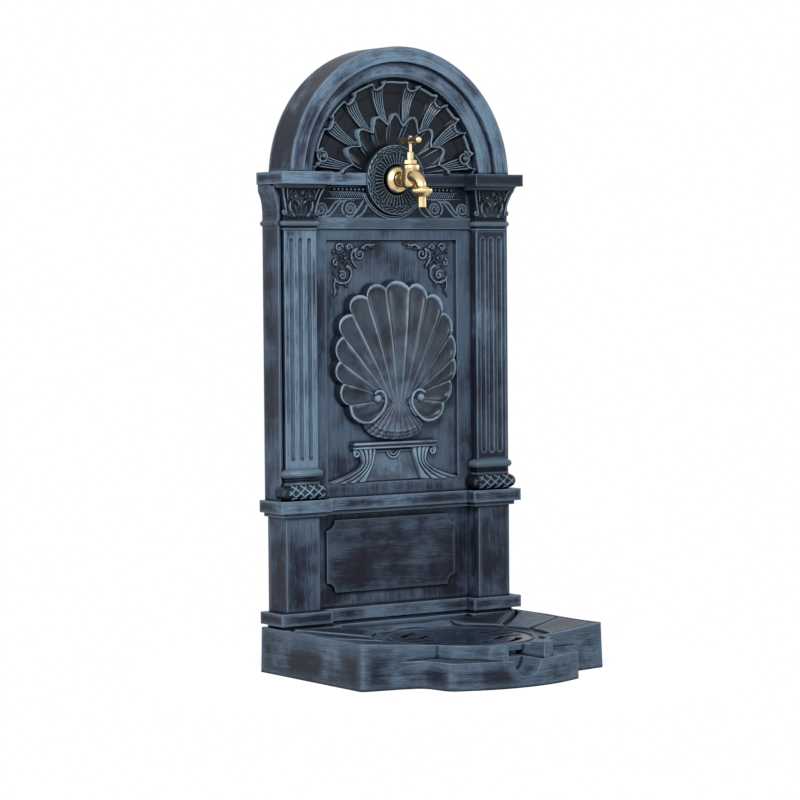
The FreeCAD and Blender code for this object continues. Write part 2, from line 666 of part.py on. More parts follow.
def make_basin():
    """The basin tray: bowed front, ledge, dished deck with pads, sump, trough and hollow underside."""
    top = s.basin_height + s.basin_wall
    keep = back - s.wing_depth
    wall = s.basin_wall
    floor = s.floor_height
    body = fuse("basin_body", [
        basin_prism("basin_lower", False, 0, s.ledge_height, 0, lean(s.ledge_height)),
        basin_prism("basin_upper", True, s.ledge_height, s.basin_height, lean(s.ledge_height),
                    lean(s.basin_height))])
    lip = cut("seat_lip", seat_plan("seat_lip_plan", s.lip_width, floor, s.basin_height + s.lip_height),
              [box("seat_lip_back", (-basin_half, basin_half), (back, back + over * 2), (0, top))])
    lipped = fuse("basin_lipped", [cut("basin_dished", body, [deck_space()]), lip])
    rim = -float(s.side_rim)
    bowl = common("deck_bowl", rod("deck_bowl_round", s.deck_inner, (0, bowl_y, floor), top - floor),
                  basin_prism("deck_bowl_plan", True, floor, top, rim, rim))
    tools = [bowl]
    for side in (-1, 1):
        mark = "left" if side < 0 else "right"
        edge = basin_half - s.side_rim - s.side_groove
        tools.append(box(f"side_groove_{mark}", (side * edge, side * (basin_half - s.side_rim)),
                         (keep + s.side_rim * 2, back - s.lip_depth - s.lip_width), (floor, top)))
        for label, inset, inner_y, outer_y, inner_half, outer_half in GROOVES:
            tools.append(plate(f"groove_{label}_{mark}", "top", floor, top - floor, [
                (side * (basin_half - inset), bowl_y + (inner_y + inner_half)),
                (side * (basin_half - inset), bowl_y + (inner_y - inner_half)),
                (side * (edge + over), bowl_y + (outer_y - outer_half)),
                (side * (edge + over), bowl_y + (outer_y + outer_half))]))
    slope_end = back - s.lip_beam_depth - s.lip_width
    tools.append(plate("back_slope", "side", -s.slope_half, s.slope_half * 2, [
        (bowl_y, floor), (slope_end - s.slope_run, floor), (slope_end, s.basin_height), (slope_end, top),
        (bowl_y, top)]))
    tools.append(seat_plan("column_seat", 0, seat_level, top))
    carved = lipped
    for index, tool in enumerate(tools):
        carved = cut(f"basin_carved_{index}", carved, [tool])
    ring_low = floor - over
    ring_inner = s.ring_radius - s.ring_width
    ring = cut("bowl_ring", rod("bowl_ring_out", s.ring_radius, (0, bowl_y, ring_low), s.ring_height + over),
               [rod("bowl_ring_in", ring_inner, (0, bowl_y, ring_low - over), s.ring_height + over * 3)])
    hole = s.grate_radius + s.grate_gap
    sump_radius = s.grate_radius - s.grate_seat
    channel = s.spout_width / 2
    grate_floor = floor - s.grate_thick
    under = floor - wall
    sump_under = s.spout_floor - wall
    spout_end = front + s.spout_length
    side = -float(s.basin_side)
    plan = fuse("basin_hollow_plan", [
        basin_prism("hollow_lower", False, -over, s.ledge_height - wall, side, side),
        basin_prism("hollow_upper", True, -over, under, side, side)])
    limit = box("hollow_limit", (-basin_half, basin_half), (front, back - wall), (-over * 2, top))
    hollow = cut("basin_hollow", common("basin_hollow_room", plan, limit), [
        rod("sump_outside", hole + wall, (0, bowl_y, sump_under), top),
        box("trough_outside", (-channel - wall, channel + wall), (front - over, bowl_y), (sump_under, top)),
        rod("outlet_outside", s.outlet_radius + wall, (0, front - over, s.spout_floor),
            s.outlet_length + wall + over, "y")])
    openings = [
        rod("grate_hole", hole, (0, bowl_y, grate_floor), top - grate_floor),
        rod("sump", sump_radius, (0, bowl_y, s.spout_floor), top - s.spout_floor),
        box("trough", (-channel, channel), (front - over, spout_end), (s.spout_floor, top)),
        box("sump_mouth", (-channel, channel), (spout_end - over, bowl_y),
            (s.spout_floor, s.spout_floor + s.spout_mouth)),
        rod("outlet_channel_round", s.outlet_radius, (0, front - over, s.spout_floor),
            s.outlet_length + over, "y"),
        hollow,
    ]
    for x in (s.base_screw_inner, s.base_screw_outer):
        for side in (-1, 1):
            openings.append(rod(f"basin_screw_hole_{len(openings)}", s.base_screw + s.ease,
                                (side * x, screw_line, under - over), top - under))
    tray = fuse("basin_ringed", [carved, ring])
    for index, tool in enumerate(openings):
        tray = cut(f"basin_opened_{index}", tray, [tool])
    node("basin", tray)


screw_line = back - s.screw_set


# Angles between which a curved slot runs, from the line through the two round holes
CURVED_SLOT = (17, 54)


def make_grate():
    """The lift-out drain grate: straight, bent and curved slots round a plain middle."""
    thick = s.grate_thick
    low = s.floor_height - thick
    start = low - over
    height = thick + over * 2
    half = s.slot_width / 2
    tools = []
    ring = cut("curved_slots", rod("curved_slots_out", s.ring_slot + half, (0, bowl_y, start), height),
               [rod("curved_slots_in", s.ring_slot - half, (0, bowl_y, start - over), height + over * 2)])
    wedges = []
    reach = s.grate_radius
    narrow, wide = (math.radians(angle) for angle in CURVED_SLOT)
    turn = math.atan2(float(s.slot_swing), float(s.slot_bend - s.slot_tip))
    miter = half * math.tan(turn / 2)
    across = half * math.sin(turn)
    along = half * math.cos(turn)
    for side in (-1, 1):
        tools.append(box(f"slot_straight_{side}", (side * s.slot_inner, side * s.slot_outer),
                         (bowl_y - half, bowl_y + half), (start, low + thick + over)))
        for way in (-1, 1):
            mark = f"{side}_{way}"
            row = s.slot_pitch * way
            swing = s.slot_swing * way
            tools.append(plate(f"slot_bent_{mark}", "top", start, height, [
                (side * (s.slot_outer - half), bowl_y + row + half * way),
                (side * (s.slot_bend + miter), bowl_y + row + half * way),
                (side * (s.slot_tip + across), bowl_y + row + swing + along * way),
                (side * (s.slot_tip - across), bowl_y + row + swing - along * way),
                (side * (s.slot_bend - miter), bowl_y + row - half * way),
                (side * (s.slot_outer - half), bowl_y + row - half * way)]))
            wedges.append(plate(f"slot_wedge_{mark}", "top", start, height, [
                (0, bowl_y),
                (side * reach * math.sin(narrow), bowl_y + reach * math.cos(narrow) * way),
                (side * reach, bowl_y + reach * way),
                (side * reach * math.sin(wide), bowl_y + reach * math.cos(wide) * way)]))
    for way in (-1, 1):
        tools.append(rod(f"eye_{way}", s.eye_radius, (0, bowl_y + s.eye_place * way, start), height))
    arcs = common("curved_slot_parts", ring, fuse("slot_wedges", wedges))
    disc = rod("grate_disc", s.grate_radius, (0, bowl_y, low), thick)
    node("drain_grate", cut("grate_plate", cut("grate_curved", disc, [arcs]), tools))


def course(name, spans, low, high):
    """A course of the column: boxes given by inner edge, outer edge and depth, on both sides."""
    parts = []
    for inner, outer, depth in spans:
        if inner is None:
            parts.append(box(f"{name}_{len(parts)}", (-outer, outer), (back - depth, back), (low, high)))
            continue
        for side in (-1, 1):
            parts.append(box(f"{name}_{len(parts)}", (side * inner, side * outer), (back - depth, back),
                             (low, high)))
    return fuse(name, parts)


def cover_space(name, low, high):
    """Room for the rear cover at the back of a course."""
    return box(name, (-s.cover_half - s.ease, s.cover_half + s.ease), (cover_face, back + over),
               (low - over, high + over))


def make_plinth():
    """The plinth moulding with its neck, which stands in the basin's seat."""
    neck = course("plinth_neck", [
        (None, s.neck_half, s.plinth_beam_depth - s.wall),
        (s.block_inner + s.wall, s.neck_half, s.neck_depth)], seat_level, plinth_low)
    band = course("plinth_band", [
        (None, basin_half, s.plinth_beam_depth),
        (s.block_inner, basin_half, s.plinth_block_depth)], plinth_low, plinth_top)
    tools = [cover_space("plinth_cover_space", seat_level, plinth_top),
             box("plinth_way", (-s.tablet_half, s.tablet_half), (back - s.recess_depth + s.wall, back + over),
                 (seat_level + s.plinth_height, plinth_top + over))]
    for x in (s.base_screw_inner, s.base_screw_outer):
        for side in (-1, 1):
            tools.append(rod(f"plinth_pilot_{len(tools)}", s.base_screw + s.fit,
                             (side * x, screw_line, seat_level - over), s.base_bite + over))
    node("plinth_moulding", cut("plinth", fuse("plinth_body", [neck, band]), tools))


def boss(name, x, z, start):
    """A boss for a cover screw, from a wall's inside to the rear cover."""
    return rod(name, s.boss_radius, (x, start - over, z), cover_face - start + over, "y")


def pilot(name, x, z):
    """The hole of a cover screw in its boss."""
    return rod(name, s.cover_screw + s.fit, (x, cover_face - s.cover_bite, z), s.cover_bite + over, "y")


# Angles of the arch's cover screws from the upright
ARCH_SCREWS = (-58, -20, 20, 58)
# The panel's cover screws, in boss insets: the lowest above the panel's foot, and what their rows leave free
PANEL_SCREW_FOOT = 2
PANEL_SCREW_FREE = 5


def cover_screw_places():
    """Places of the cover's screws: on the pedestal, on the panel shell and on the arch."""
    edge = s.cover_half - s.boss_inset
    quarter = s.pedestal_height / 4
    pedestal = [(side * edge, plinth_top + quarter * share) for share in (1, 3) for side in (-1, 1)]
    panel_foot = middle_top + s.boss_inset * PANEL_SCREW_FOOT
    half = (s.panel_height - s.boss_inset * PANEL_SCREW_FREE) / 2
    panel = [(side * edge, panel_foot + half * step) for step in (0, 1, 2) for side in (-1, 1)]
    ring = s.arch_radius - s.arch_band / 2
    arch = []
    for degrees in ARCH_SCREWS:
        angle = math.radians(degrees)
        arch.append((ring * math.sin(angle), arch_level + ring * math.cos(angle)))
    return pedestal, panel, arch


def make_pedestal():
    """The pedestal shell: two piers and a middle panel, open at the back."""
    body = course("pedestal_body", [(None, s.pedestal_half, s.recess_depth),
                                    (s.pier_inner, s.pedestal_half, s.pier_depth)], plinth_top, pedestal_top)
    wall = s.wall
    inside = [box("pedestal_inside", (-s.pedestal_half + wall, s.pedestal_half - wall),
                  (back - s.recess_depth + wall, back + over), (plinth_top - over, pedestal_top + over))]
    for side in (-1, 1):
        mark = "left" if side < 0 else "right"
        span = (side * (s.pier_inner + wall), side * (s.pedestal_half - wall))
        inside.append(box(f"pier_inside_{mark}", span, (back - s.pier_depth + wall, back + over),
                          (plinth_top - over, pedestal_top + over)))
    hollow = cut("pedestal_hollow", body, inside)
    bosses, pilots = [], []
    for index, (x, z) in enumerate(cover_screw_places()[0]):
        bosses.append(boss(f"pedestal_boss_{index}", x, z, back - s.pier_depth + wall))
        pilots.append(pilot(f"pedestal_pilot_{index}", x, z))
    pilots.append(cover_space("pedestal_cover_space", plinth_top, pedestal_top))
    node("pedestal_shell", cut("pedestal", fuse("pedestal_full", [hollow] + bosses), pilots))


def make_tablet():
    """The raised tablet on the pedestal, its corners hollowed out."""
    face = back - s.recess_depth
    low = plinth_top + s.tablet_low
    high = low + s.tablet_height
    slab = box("tablet_slab", (-s.tablet_half, s.tablet_half), (face - s.tablet_thick, face), (low, high))
    corners = [rod(f"tablet_corner_{x}_{z}", s.tablet_notch,
                   (x * s.tablet_half, face - s.tablet_thick - over, low if z < 0 else high),
                   s.tablet_thick + over * 2, "y") for x in (-1, 1) for z in (-1, 1)]
    node("tablet", cut("tablet_plate", slab, corners))


def make_middle():
    """The moulding between pedestal and panel, with a smaller step under it."""
    step = course("middle_step", [
        (None, s.under_half, s.middle_beam_depth - s.under_height),
        (s.block_inner + s.under_height, s.under_half, s.under_block_depth)], pedestal_top, middle_low)
    band = course("middle_band", [
        (None, basin_half, s.middle_beam_depth),
        (s.block_inner, basin_half, s.middle_block_depth)], middle_low, middle_top)
    tools = [cover_space("middle_cover_space", pedestal_top, middle_top),
             box("middle_way", (-s.tablet_half, s.tablet_half), (back - s.recess_depth + s.wall, back + over),
                 (pedestal_top - over, middle_top + over))]
    node("middle_moulding", cut("middle", fuse("middle_body", [step, band]), tools))


def side_flare(side):
    """The hollow moulding along the shell's side under the cornice."""
    y = float(shell_face - s.edge_proud)
    root = side * float(s.panel_half - over)
    near = side * float(s.panel_half + s.flare_toe)
    far = side * float(s.panel_half + s.flare_spread)
    low = float(cornice_low - s.flare_height)
    lip = float(cornice_low - s.flare_lip)
    high = float(cornice_low)
    foot = Vector(near, y, low)
    head = Vector(far, y, lip)
    bend = Vector((near * 3 + far) / 4, y, (low + lip) / 2)
    corners = [head, Vector(far, y, high), Vector(root, y, high), Vector(root, y, low), foot]
    edges = [Part.makeLine(first, second) for first, second in zip(corners, corners[1:])]
    edges.append(arc_edge(foot, bend, head))
    return shaped(f"panel_flare_{side}", face_solid(edges, y, float(back)))


def make_panel():
    """The panel shell: face, sunken field, raised outer edges and side walls, open at the back."""
    wall = s.wall
    body = box("panel_body", (-s.panel_half, s.panel_half), (shell_face, back), (middle_top, cornice_top))
    edges = []
    for side in (-1, 1):
        edges.append(box(f"panel_edge_{side}", (side * (s.panel_half - s.edge_width), side * s.panel_half),
                         (shell_face - s.edge_proud, back), (middle_top, cornice_low)))
        edges.append(side_flare(side))
        edges.append(rod(f"panel_string_{side}", s.neck_ring, (side * s.panel_half, shell_face - s.edge_proud,
                                                               shaft_top + s.ring_rise),
                         s.panel_depth + s.edge_proud, "y"))
    pad = box("field_backing", (-s.field_half - wall, s.field_half + wall),
              (shell_face + over, field_face + wall), (field_low - wall, field_top + wall))
    room = box("panel_room", (-s.panel_half + wall, s.panel_half - wall), (shell_back, back + over),
               (middle_top - over, cornice_top - wall))
    inside = cut("panel_inside", room, [pad])
    mouth_half = s.arch_radius - s.arch_band - s.arch_step
    mouth = box("panel_top_mouth", (-mouth_half, mouth_half), (shell_back, back + over),
                (cornice_top - wall * 2, cornice_top + over))
    field = box("field", (-s.field_half, s.field_half), (shell_face - over, field_face),
                (field_low, field_top))
    hollow = cut("panel_hollow", fuse("panel_solid", [body] + edges), [inside, mouth, field])
    bosses, pilots = [], []
    for index, (x, z) in enumerate(cover_screw_places()[1]):
        bosses.append(boss(f"panel_boss_{index}", x, z, shell_back))
        pilots.append(pilot(f"panel_pilot_{index}", x, z))
    pilots.append(rod("panel_tap_hole", s.spigot_radius + s.ease, (0, shell_face - over, tap_level),
                      wall + over * 2, "y"))
    pilots.append(cover_space("panel_cover_space", middle_top, cornice_top))
    node("panel_shell", cut("panel", fuse("panel_full", [hollow] + bosses), pilots))


def pilaster_span(side, spread=0):
    """Inner and outer X of a pilaster, widened by a spread."""
    inner = s.pilaster_inner - spread
    outer = s.pilaster_inner + s.pilaster_width + spread
    return side * inner, side * outer


def edge_space(name, side, low, high):
    """Room for the shell's raised edge beside a pilaster's base or capital."""
    inner = s.panel_half - s.edge_width - s.ease
    return box(name, (side * inner, side * (basin_half + over)),
               (shell_face - s.edge_proud - s.ease, shell_face + over), (low - over, high + over))


def make_pilaster(side, mark):
    """A fluted pilaster between its base and its capital."""
    face = back - s.pilaster_depth
    shaft = box(f"shaft_{mark}", pilaster_span(side), (face, shell_face), (base_top, shaft_top))
    tools = []
    count = int(float(s.flute_count))
    middle = s.pilaster_inner + s.pilaster_width / 2
    low = base_top + s.flute_end
    high = shaft_top - s.flute_end
    for index in range(count):
        x = side * (middle + s.flute_pitch * (index - (count - 1) / 2))
        tools.append(rod(f"flute_{mark}_{index}", s.flute_radius, (x, face, low), high - low))
        for end, z in (("foot", low), ("head", high)):
            tools.append(ball(f"flute_{end}_{mark}_{index}", s.flute_radius, (x, face, z)))
    node(f"pilaster_{mark}", cut(f"pilaster_body_{mark}", shaft, tools))


def make_pilaster_base(side, mark):
    """The base under a pilaster: a large and a small roll round a block."""
    face = back - s.pilaster_depth
    low = min(pilaster_span(side, s.base_flare), key=float)
    width = s.pilaster_width + s.base_flare * 2
    block = box(f"base_block_{mark}", pilaster_span(side), (face - s.base_flare, shell_face),
                (middle_top, base_top))
    roll = rod(f"base_roll_{mark}", s.roll_radius, (low, face, middle_top + s.base_flare + s.roll_radius),
               width, "x")
    bead = rod(f"base_bead_{mark}", s.bead_radius, (low, face - s.base_flare, base_top - s.bead_radius),
               width, "x")
    body = fuse(f"pilaster_base_body_{mark}", [block, roll, bead])
    node(f"pilaster_base_{mark}", cut(f"pilaster_base_cut_{mark}", body, [
        edge_space(f"base_edge_space_{mark}", side, middle_top, base_top)]))


def make_capital(side, mark):
    """A capital: a ring, a spreading bell and a top slab under the cornice."""
    face = back - s.pilaster_depth
    bell_foot = shaft_top + s.bell_low
    slab_low = shaft_top + s.capital_height - s.abacus_height
    low = min(pilaster_span(side), key=float)
    neck = box(f"capital_neck_{mark}", pilaster_span(side), (face, shell_face), (shaft_top, bell_foot))
    ring = rod(f"capital_ring_{mark}", s.neck_ring, (low - s.base_flare, face, shaft_top + s.ring_rise),
               s.pilaster_width + s.base_flare * 2, "x")
    bell = doc.addObject("Part::Wedge", f"capital_bell_{mark}")
    width = s.pilaster_width
    for path, value in (("Xmin", 0), ("Xmax", width), ("Ymin", 0), ("Ymax", slab_low - bell_foot),
                        ("Zmin", 0), ("Zmax", shell_face - face), ("X2min", -s.bell_flare),
                        ("X2max", width + s.bell_flare), ("Z2min", 0),
                        ("Z2max", shell_face - face + s.bell_proud)):
        bind(bell, path, value)
    place(bell, (low, shell_face, bell_foot), Rotation(Vector(1, 0, 0), 90))
    slab = box(f"capital_slab_{mark}", (low - s.bell_flare, low + width + s.bell_flare),
               (face - s.bell_proud, shell_face), (slab_low, cornice_low))
    body = fuse(f"capital_body_{mark}", [neck, ring, bell, slab])
    node(f"capital_{mark}", cut(f"capital_cut_{mark}", body, [
        edge_space(f"capital_edge_space_{mark}", side, shaft_top, cornice_low)]))


def rosette_space(name, low_y, high_y):
    """Room for the rosette in what lies round it."""
    return rod(name, s.rosette_radius, (0, low_y, tap_level), high_y - low_y, "y")


def make_frieze():
    """The frieze between the capitals, cut out for the rosette, with a plain band under it."""
    face = shell_face - s.band_thick
    low = cornice_top - s.cornice_height - s.band_low
    band = box("frieze_band", (-s.band_half, s.band_half), (face, shell_face), (low, cornice_low))
    rails = [box("frieze_rail_top", (-s.band_half, s.band_half), (face - s.rail_proud, shell_face),
                 (cornice_low - s.rail_top, cornice_low)),
             box("frieze_rail_foot", (-s.band_half, s.band_half), (face - s.rail_proud, shell_face),
                 (low, low + s.rail_foot))]
    plain_half = s.pilaster_inner - s.ease
    plain = box("architrave", (-plain_half, plain_half), (shell_face - s.architrave_proud, shell_face),
                (low - s.architrave_height, low))
    node("frieze", cut("frieze_body", fuse("frieze_full", [band, plain] + rails),
                       [rosette_space("frieze_rosette_space", front, shell_face + over)]))


def make_cornice(side, mark):
    """One half of the cornice: a block over the capital and a beam up to the rosette."""
    block = box(f"cornice_block_{mark}", (side * s.block_inner, side * basin_half),
                (back - s.cornice_block_depth, back), (cornice_low, cornice_top))
    beam = box(f"cornice_beam_{mark}", (0, side * basin_half), (back - s.cornice_beam_depth, back),
               (cornice_low, cornice_top))
    shell = box(f"cornice_shell_space_{mark}", (-s.panel_half, s.panel_half), (shell_face, back + over),
                (cornice_low - over, cornice_top + over))
    hole = rosette_space(f"cornice_rosette_space_{mark}", front, shell_face + over)
    node(f"cornice_{mark}", cut(f"cornice_body_{mark}", fuse(f"cornice_full_{mark}", [block, beam]),
                                [shell, hole]))


def half_ring(name, profile):
    """A profile turned through half a circle about the arch's centre, cut off at the cornice's top.
    The profile's points are a radius and a distance from the wall."""
    points = [(back - depth, arch_level + radius) for radius, depth in profile]
    ring = turned(name, "side", 0, points, (0, 0, arch_level), Vector(0, 1, 0))
    reach = s.arch_radius + over
    return cut(f"{name}_cut", ring, [box(f"{name}_below", (-reach, reach), (front, back + over),
                                         (arch_level - reach, cornice_top))])


def make_arch():
    """The arch: an outer hood, open at the back, and a stepped inner band."""
    wall = s.wall
    outer = s.arch_radius
    inner = outer - s.arch_band
    hood = half_ring("hood", [
        (outer, 0), (outer, s.arch_depth), (inner, s.arch_depth), (inner, s.cover_thick),
        (inner + wall, s.cover_thick), (inner + wall, s.arch_depth - wall),
        (outer - wall, s.arch_depth - wall), (outer - wall, 0)])
    bosses, pilots = [], []
    for index, (x, z) in enumerate(cover_screw_places()[2]):
        bosses.append(boss(f"arch_boss_{index}", x, z, back - s.arch_depth + wall))
        pilots.append(pilot(f"arch_pilot_{index}", x, z))
    node("arch_hood", cut("arch_hood_body", fuse("arch_hood_full", [hood] + bosses), pilots))
    step = inner - s.arch_step
    depth = s.arch_depth - s.arch_set
    band = half_ring("inner_band", [
        (inner, s.panel_depth), (inner, depth), (step + wall, depth), (step, depth - wall),
        (step, s.panel_depth)])
    node("arch_inner_band", band)
    disc = rod("tympanum_disc", inner, (0, shell_face, arch_level), wall, "y")
    below = box("tympanum_below", (-inner - over, inner + over), (front, back),
                (arch_level - inner - over, cornice_top))
    node("tympanum_plate", cut("tympanum", disc, [below]))


def polar(radius, degrees, y):
    """A point of the arch's face from its radius and its angle to the upright."""
    angle = math.radians(degrees)
    return Vector(radius * math.sin(angle), y, float(arch_level) + radius * math.cos(angle))


def face_solid(edges, y_front, y_back):
    """A solid pushed back from a closed outline of the front view."""
    face = Part.Face(Part.Wire(edges))
    return face.extrude(Vector(0, y_back - y_front, 0))


def arc_edge(first, middle, last):
    """An arc through three points."""
    return Part.Arc(first, middle, last).toShape()


# Lobes of the outer fan on each side of its middle one
LOBES = 3


def make_outer_fan():
    """The outer tier of the fan: broad lobes with round notches between them."""
    y = float(shell_face - s.fan_thick)
    radius = float(s.fan_outer_radius)
    pitch = float(s.fan_pitch)
    notch = math.degrees(float(s.fan_notch) / radius)
    last = (LOBES + 0.5) * pitch
    inner = float(s.fan_inner_radius + s.ease)
    edges = []
    here = polar(radius, -last, y)
    for index in range(-LOBES, LOBES):
        middle = (index + 0.5) * pitch
        start = polar(radius, middle - notch, y)
        top = (index * pitch + middle - notch - pitch / 2) / 2
        edges.append(arc_edge(here, polar(radius, top, y), start))
        here = polar(radius, middle + notch, y)
        edges.append(arc_edge(start, polar(radius - float(s.notch_depth), middle, y), here))
    edges.append(arc_edge(here, polar(radius, last - (pitch - notch) / 2, y), polar(radius, last, y)))
    edges.append(Part.makeLine(polar(radius, last, y), polar(inner, last, y)))
    edges.append(arc_edge(polar(inner, last, y), polar(inner, 0, y), polar(inner, -last, y)))
    edges.append(Part.makeLine(polar(inner, -last, y), polar(radius, -last, y)))
    fan = shaped("fan_plate", face_solid(edges, y, float(shell_face)))
    tools = []
    run = float(s.scoop_run)
    scoop_foot = float(s.scoop_foot)
    for index in range(-LOBES, LOBES + 1):
        angle = math.radians(index * pitch)
        along = Vector(math.sin(angle), 0, math.cos(angle))
        scoop = Part.makeCone(scoop_foot, float(s.scoop_tip), radius - inner + run * 2,
                              polar(inner - run, index * pitch, y - scoop_foot), along)
        tools.append(shaped(f"fan_scoop_{index + LOBES}", scoop))
    node("fan_outer", cut("fan_outer_body", fan, tools))


def make_inner_fan():
    """The inner tier of the fan: a wavy rim of petals round the rosette."""
    y = float(shell_face - s.petal_thick)
    radius = float(s.fan_inner_radius)
    count = int(float(s.petal_count))
    pitch = float(s.petal_spread) / count
    last = pitch * count / 2
    dip = radius - float(s.petal_rise)
    edges = []
    for index in range(count):
        start = -last + pitch * index
        edges.append(arc_edge(polar(dip, start, y), polar(radius, start + pitch / 2, y),
                              polar(dip, start + pitch, y)))
    hub = float(s.rosette_radius - s.rosette_rim)
    edges.append(Part.makeLine(polar(dip, last, y), polar(hub, last, y)))
    edges.append(arc_edge(polar(hub, last, y), polar(hub, 0, y), polar(hub, -last, y)))
    edges.append(Part.makeLine(polar(hub, -last, y), polar(dip, -last, y)))
    petals = shaped("petal_plate", face_solid(edges, y, float(shell_face)))
    below = box("petal_below", (-radius - over, radius + over), (front, back),
                (cornice_low, cornice_top))
    node("fan_inner", cut("fan_inner_body", petals, [
        rosette_space("petal_rosette_space", shell_face - s.petal_thick - over, shell_face + over), below]))


def make_rosette():
    """The rosette boss that carries the tap, with a raised rim and a hole for the shank."""
    disc = rod("rosette_disc", s.rosette_radius - s.ease, (0, rosette_face, tap_level), s.rosette_proud, "y")
    dish = cut("rosette_dish_ring",
               rod("rosette_dish_out", s.rosette_radius - s.rosette_rim, (0, rosette_face - over, tap_level),
                   s.rosette_dish + over, "y"),
               [rod("rosette_dish_in", s.flange_radius + s.rosette_rim,
                    (0, rosette_face - over * 2, tap_level), s.rosette_dish + over * 3, "y")])
    hole = rod("rosette_hole", s.spigot_radius + s.ease, (0, rosette_face - over, tap_level),
               s.rosette_proud + over * 2, "y")
    node("rosette", cut("rosette_body", disc, [dish, hole]))


# The shell's right half seen from the front, from its hinge: the valley before each lobe, then its tip
SHELL_TOP = (0, 162)
SHELL_RIM = (
    (19, 152, 33, 158), (49, 140, 63, 143), (73, 118, 85, 115),
    (88, 89, 98, 74), (93, 56, 98.5, 40), (87, 26, 91, 12), (76, -4, 66, -25),
)
SHELL_END = (36, -20)
FLUTE_START = 20.0


def make_shell():
    """The scallop shell: lobes round its rim, flutes that run together at its hinge, and a foot."""
    level = float(field_low + s.shell_low)
    crown_y = float(field_face - s.shell_thick - s.shell_crown)
    radius = float(s.dome_radius)
    centre = level + float(s.shell_centre)

    def rim_point(x, z):
        return Vector(x, crown_y - float(over), level + z)

    def dome_point(x, z, lift):
        rise = math.sqrt(radius * radius - x * x - (level + z - centre) ** 2)
        return Vector(x, crown_y + radius - rise - lift, level + z)

    valley = SHELL_RIM[0][:2]
    edges = [arc_edge(rim_point(-valley[0], valley[1]), rim_point(*SHELL_TOP), rim_point(*valley))]
    for side in (1, -1):
        for index, (x, z, tip_x, tip_z) in enumerate(SHELL_RIM):
            after = SHELL_RIM[index + 1][:2] if index + 1 < len(SHELL_RIM) else SHELL_END
            edges.append(arc_edge(rim_point(side * x, z), rim_point(side * tip_x, tip_z),
                                  rim_point(side * after[0], after[1])))
    edges.append(Part.makeLine(rim_point(*SHELL_END), rim_point(-SHELL_END[0], SHELL_END[1])))
    outline_edges = Part.__sortEdges__(edges)
    rim = shaped("shell_plate", face_solid(outline_edges, crown_y - float(over), float(field_face)))
    crown = ball("shell_dome", s.dome_radius, (0, field_face - s.shell_thick - s.shell_crown + s.dome_radius,
                                               field_low + s.shell_low + s.shell_centre))
    body = common("shell_crowned", rim, crown)
    curve = float(s.flute_curve)
    lift = curve - float(s.flute_sink)
    tips = [SHELL_TOP] + [(side * row[2], row[3]) for row in SHELL_RIM for side in (1, -1)]
    for index, (x, z) in enumerate(tips):
        length = math.hypot(x, z)
        near = FLUTE_START / length
        far = 1 + FLUTE_START / 2 / length
        first = dome_point(x * near, z * near, lift * near)
        last = dome_point(x * far, z * far, lift * far)
        flute = Part.makeCone(curve * near, curve * far, (last - first).Length, first, last - first)
        body = cut(f"shell_fluted_{index}", body, [shaped(f"shell_flute_{index}", flute)])
    foot_low = field_low + s.stand_height
    waist = foot_low + s.waist_height
    foot_top = field_low + s.shell_low
    foot = plate("shell_foot", "front", field_face, s.shell_thick, [
        (-s.foot_half, foot_low), (s.foot_half, foot_low), (s.foot_waist, waist), (s.foot_half, foot_top),
        (-s.foot_half, foot_top), (-s.foot_waist, waist)])
    balls = [ball(f"shell_ball_{side}", s.volute_radius,
                  (side * s.volute_place, field_face - s.shell_thick, foot_top)) for side in (-1, 1)]
    node("shell_relief", fuse("shell_body", [body, foot] + balls))


def make_stand():
    """The stand under the shell: a slab on two curved legs with an apron between them."""
    top = field_low + s.stand_height
    under = top - s.stand_slab
    slab = box("stand_slab_box", (-s.stand_slab_half, s.stand_slab_half),
               (field_face - s.stand_thick, field_face), (under, top))
    y = float(field_face - s.leg_thick)
    low_z = float(field_low)
    high_z = float(under)
    reach = float(s.field_half - s.stand_toe)
    edges = []
    for side in (-1, 1):
        waist = Vector(side * float(s.stand_leg_waist), y, high_z)
        toe = Vector(side * reach, y, low_z)
        bend = Vector((waist.x * 2 + toe.x) / 3, y, (low_z * 2 + high_z) / 3)
        edges.append(arc_edge(waist, bend, toe))
    toes = [Vector(side * reach, y, low_z) for side in (-1, 1)]
    waists = [Vector(side * float(s.stand_leg_waist), y, high_z) for side in (-1, 1)]
    edges.append(Part.makeLine(toes[0], toes[1]))
    edges.append(Part.makeLine(waists[0], waists[1]))
    body = shaped("stand_body", face_solid(Part.__sortEdges__(edges), y, float(field_face)))
    apron = plate("stand_apron", "front", field_face - s.apron_thick, s.stand_thick, [
        (-s.stand_foot_inner, field_low), (s.stand_foot_inner, field_low), (s.stand_leg_top, under - over),
        (-s.stand_leg_top, under - over)])
    node("shell_stand", fuse("stand_full", [slab, cut("stand_legs", body, [apron])]))


def make_spray(side, mark):
    """A corner spray on the field: a round middle with one arm along each edge."""
    edge_x = s.field_half - s.spray_side
    edge_z = field_top - s.spray_top
    face = field_face - s.spray_thick
    centre = s.spray_width / 2
    parts = [
        rod(f"spray_middle_{mark}", centre, (side * (edge_x - centre), face, edge_z - centre),
            s.spray_thick, "y"),
        box(f"spray_across_{mark}", (side * (edge_x - s.spray_reach), side * (edge_x - centre)),
            (face, field_face), (edge_z - s.arm_width, edge_z - s.spray_thick)),
        box(f"spray_down_{mark}", (side * (edge_x - s.arm_width), side * (edge_x - s.spray_thick)),
            (face, field_face), (edge_z - s.spray_reach, edge_z - centre)),
    ]
    node(f"corner_spray_{mark}", fuse(f"corner_spray_body_{mark}", parts))


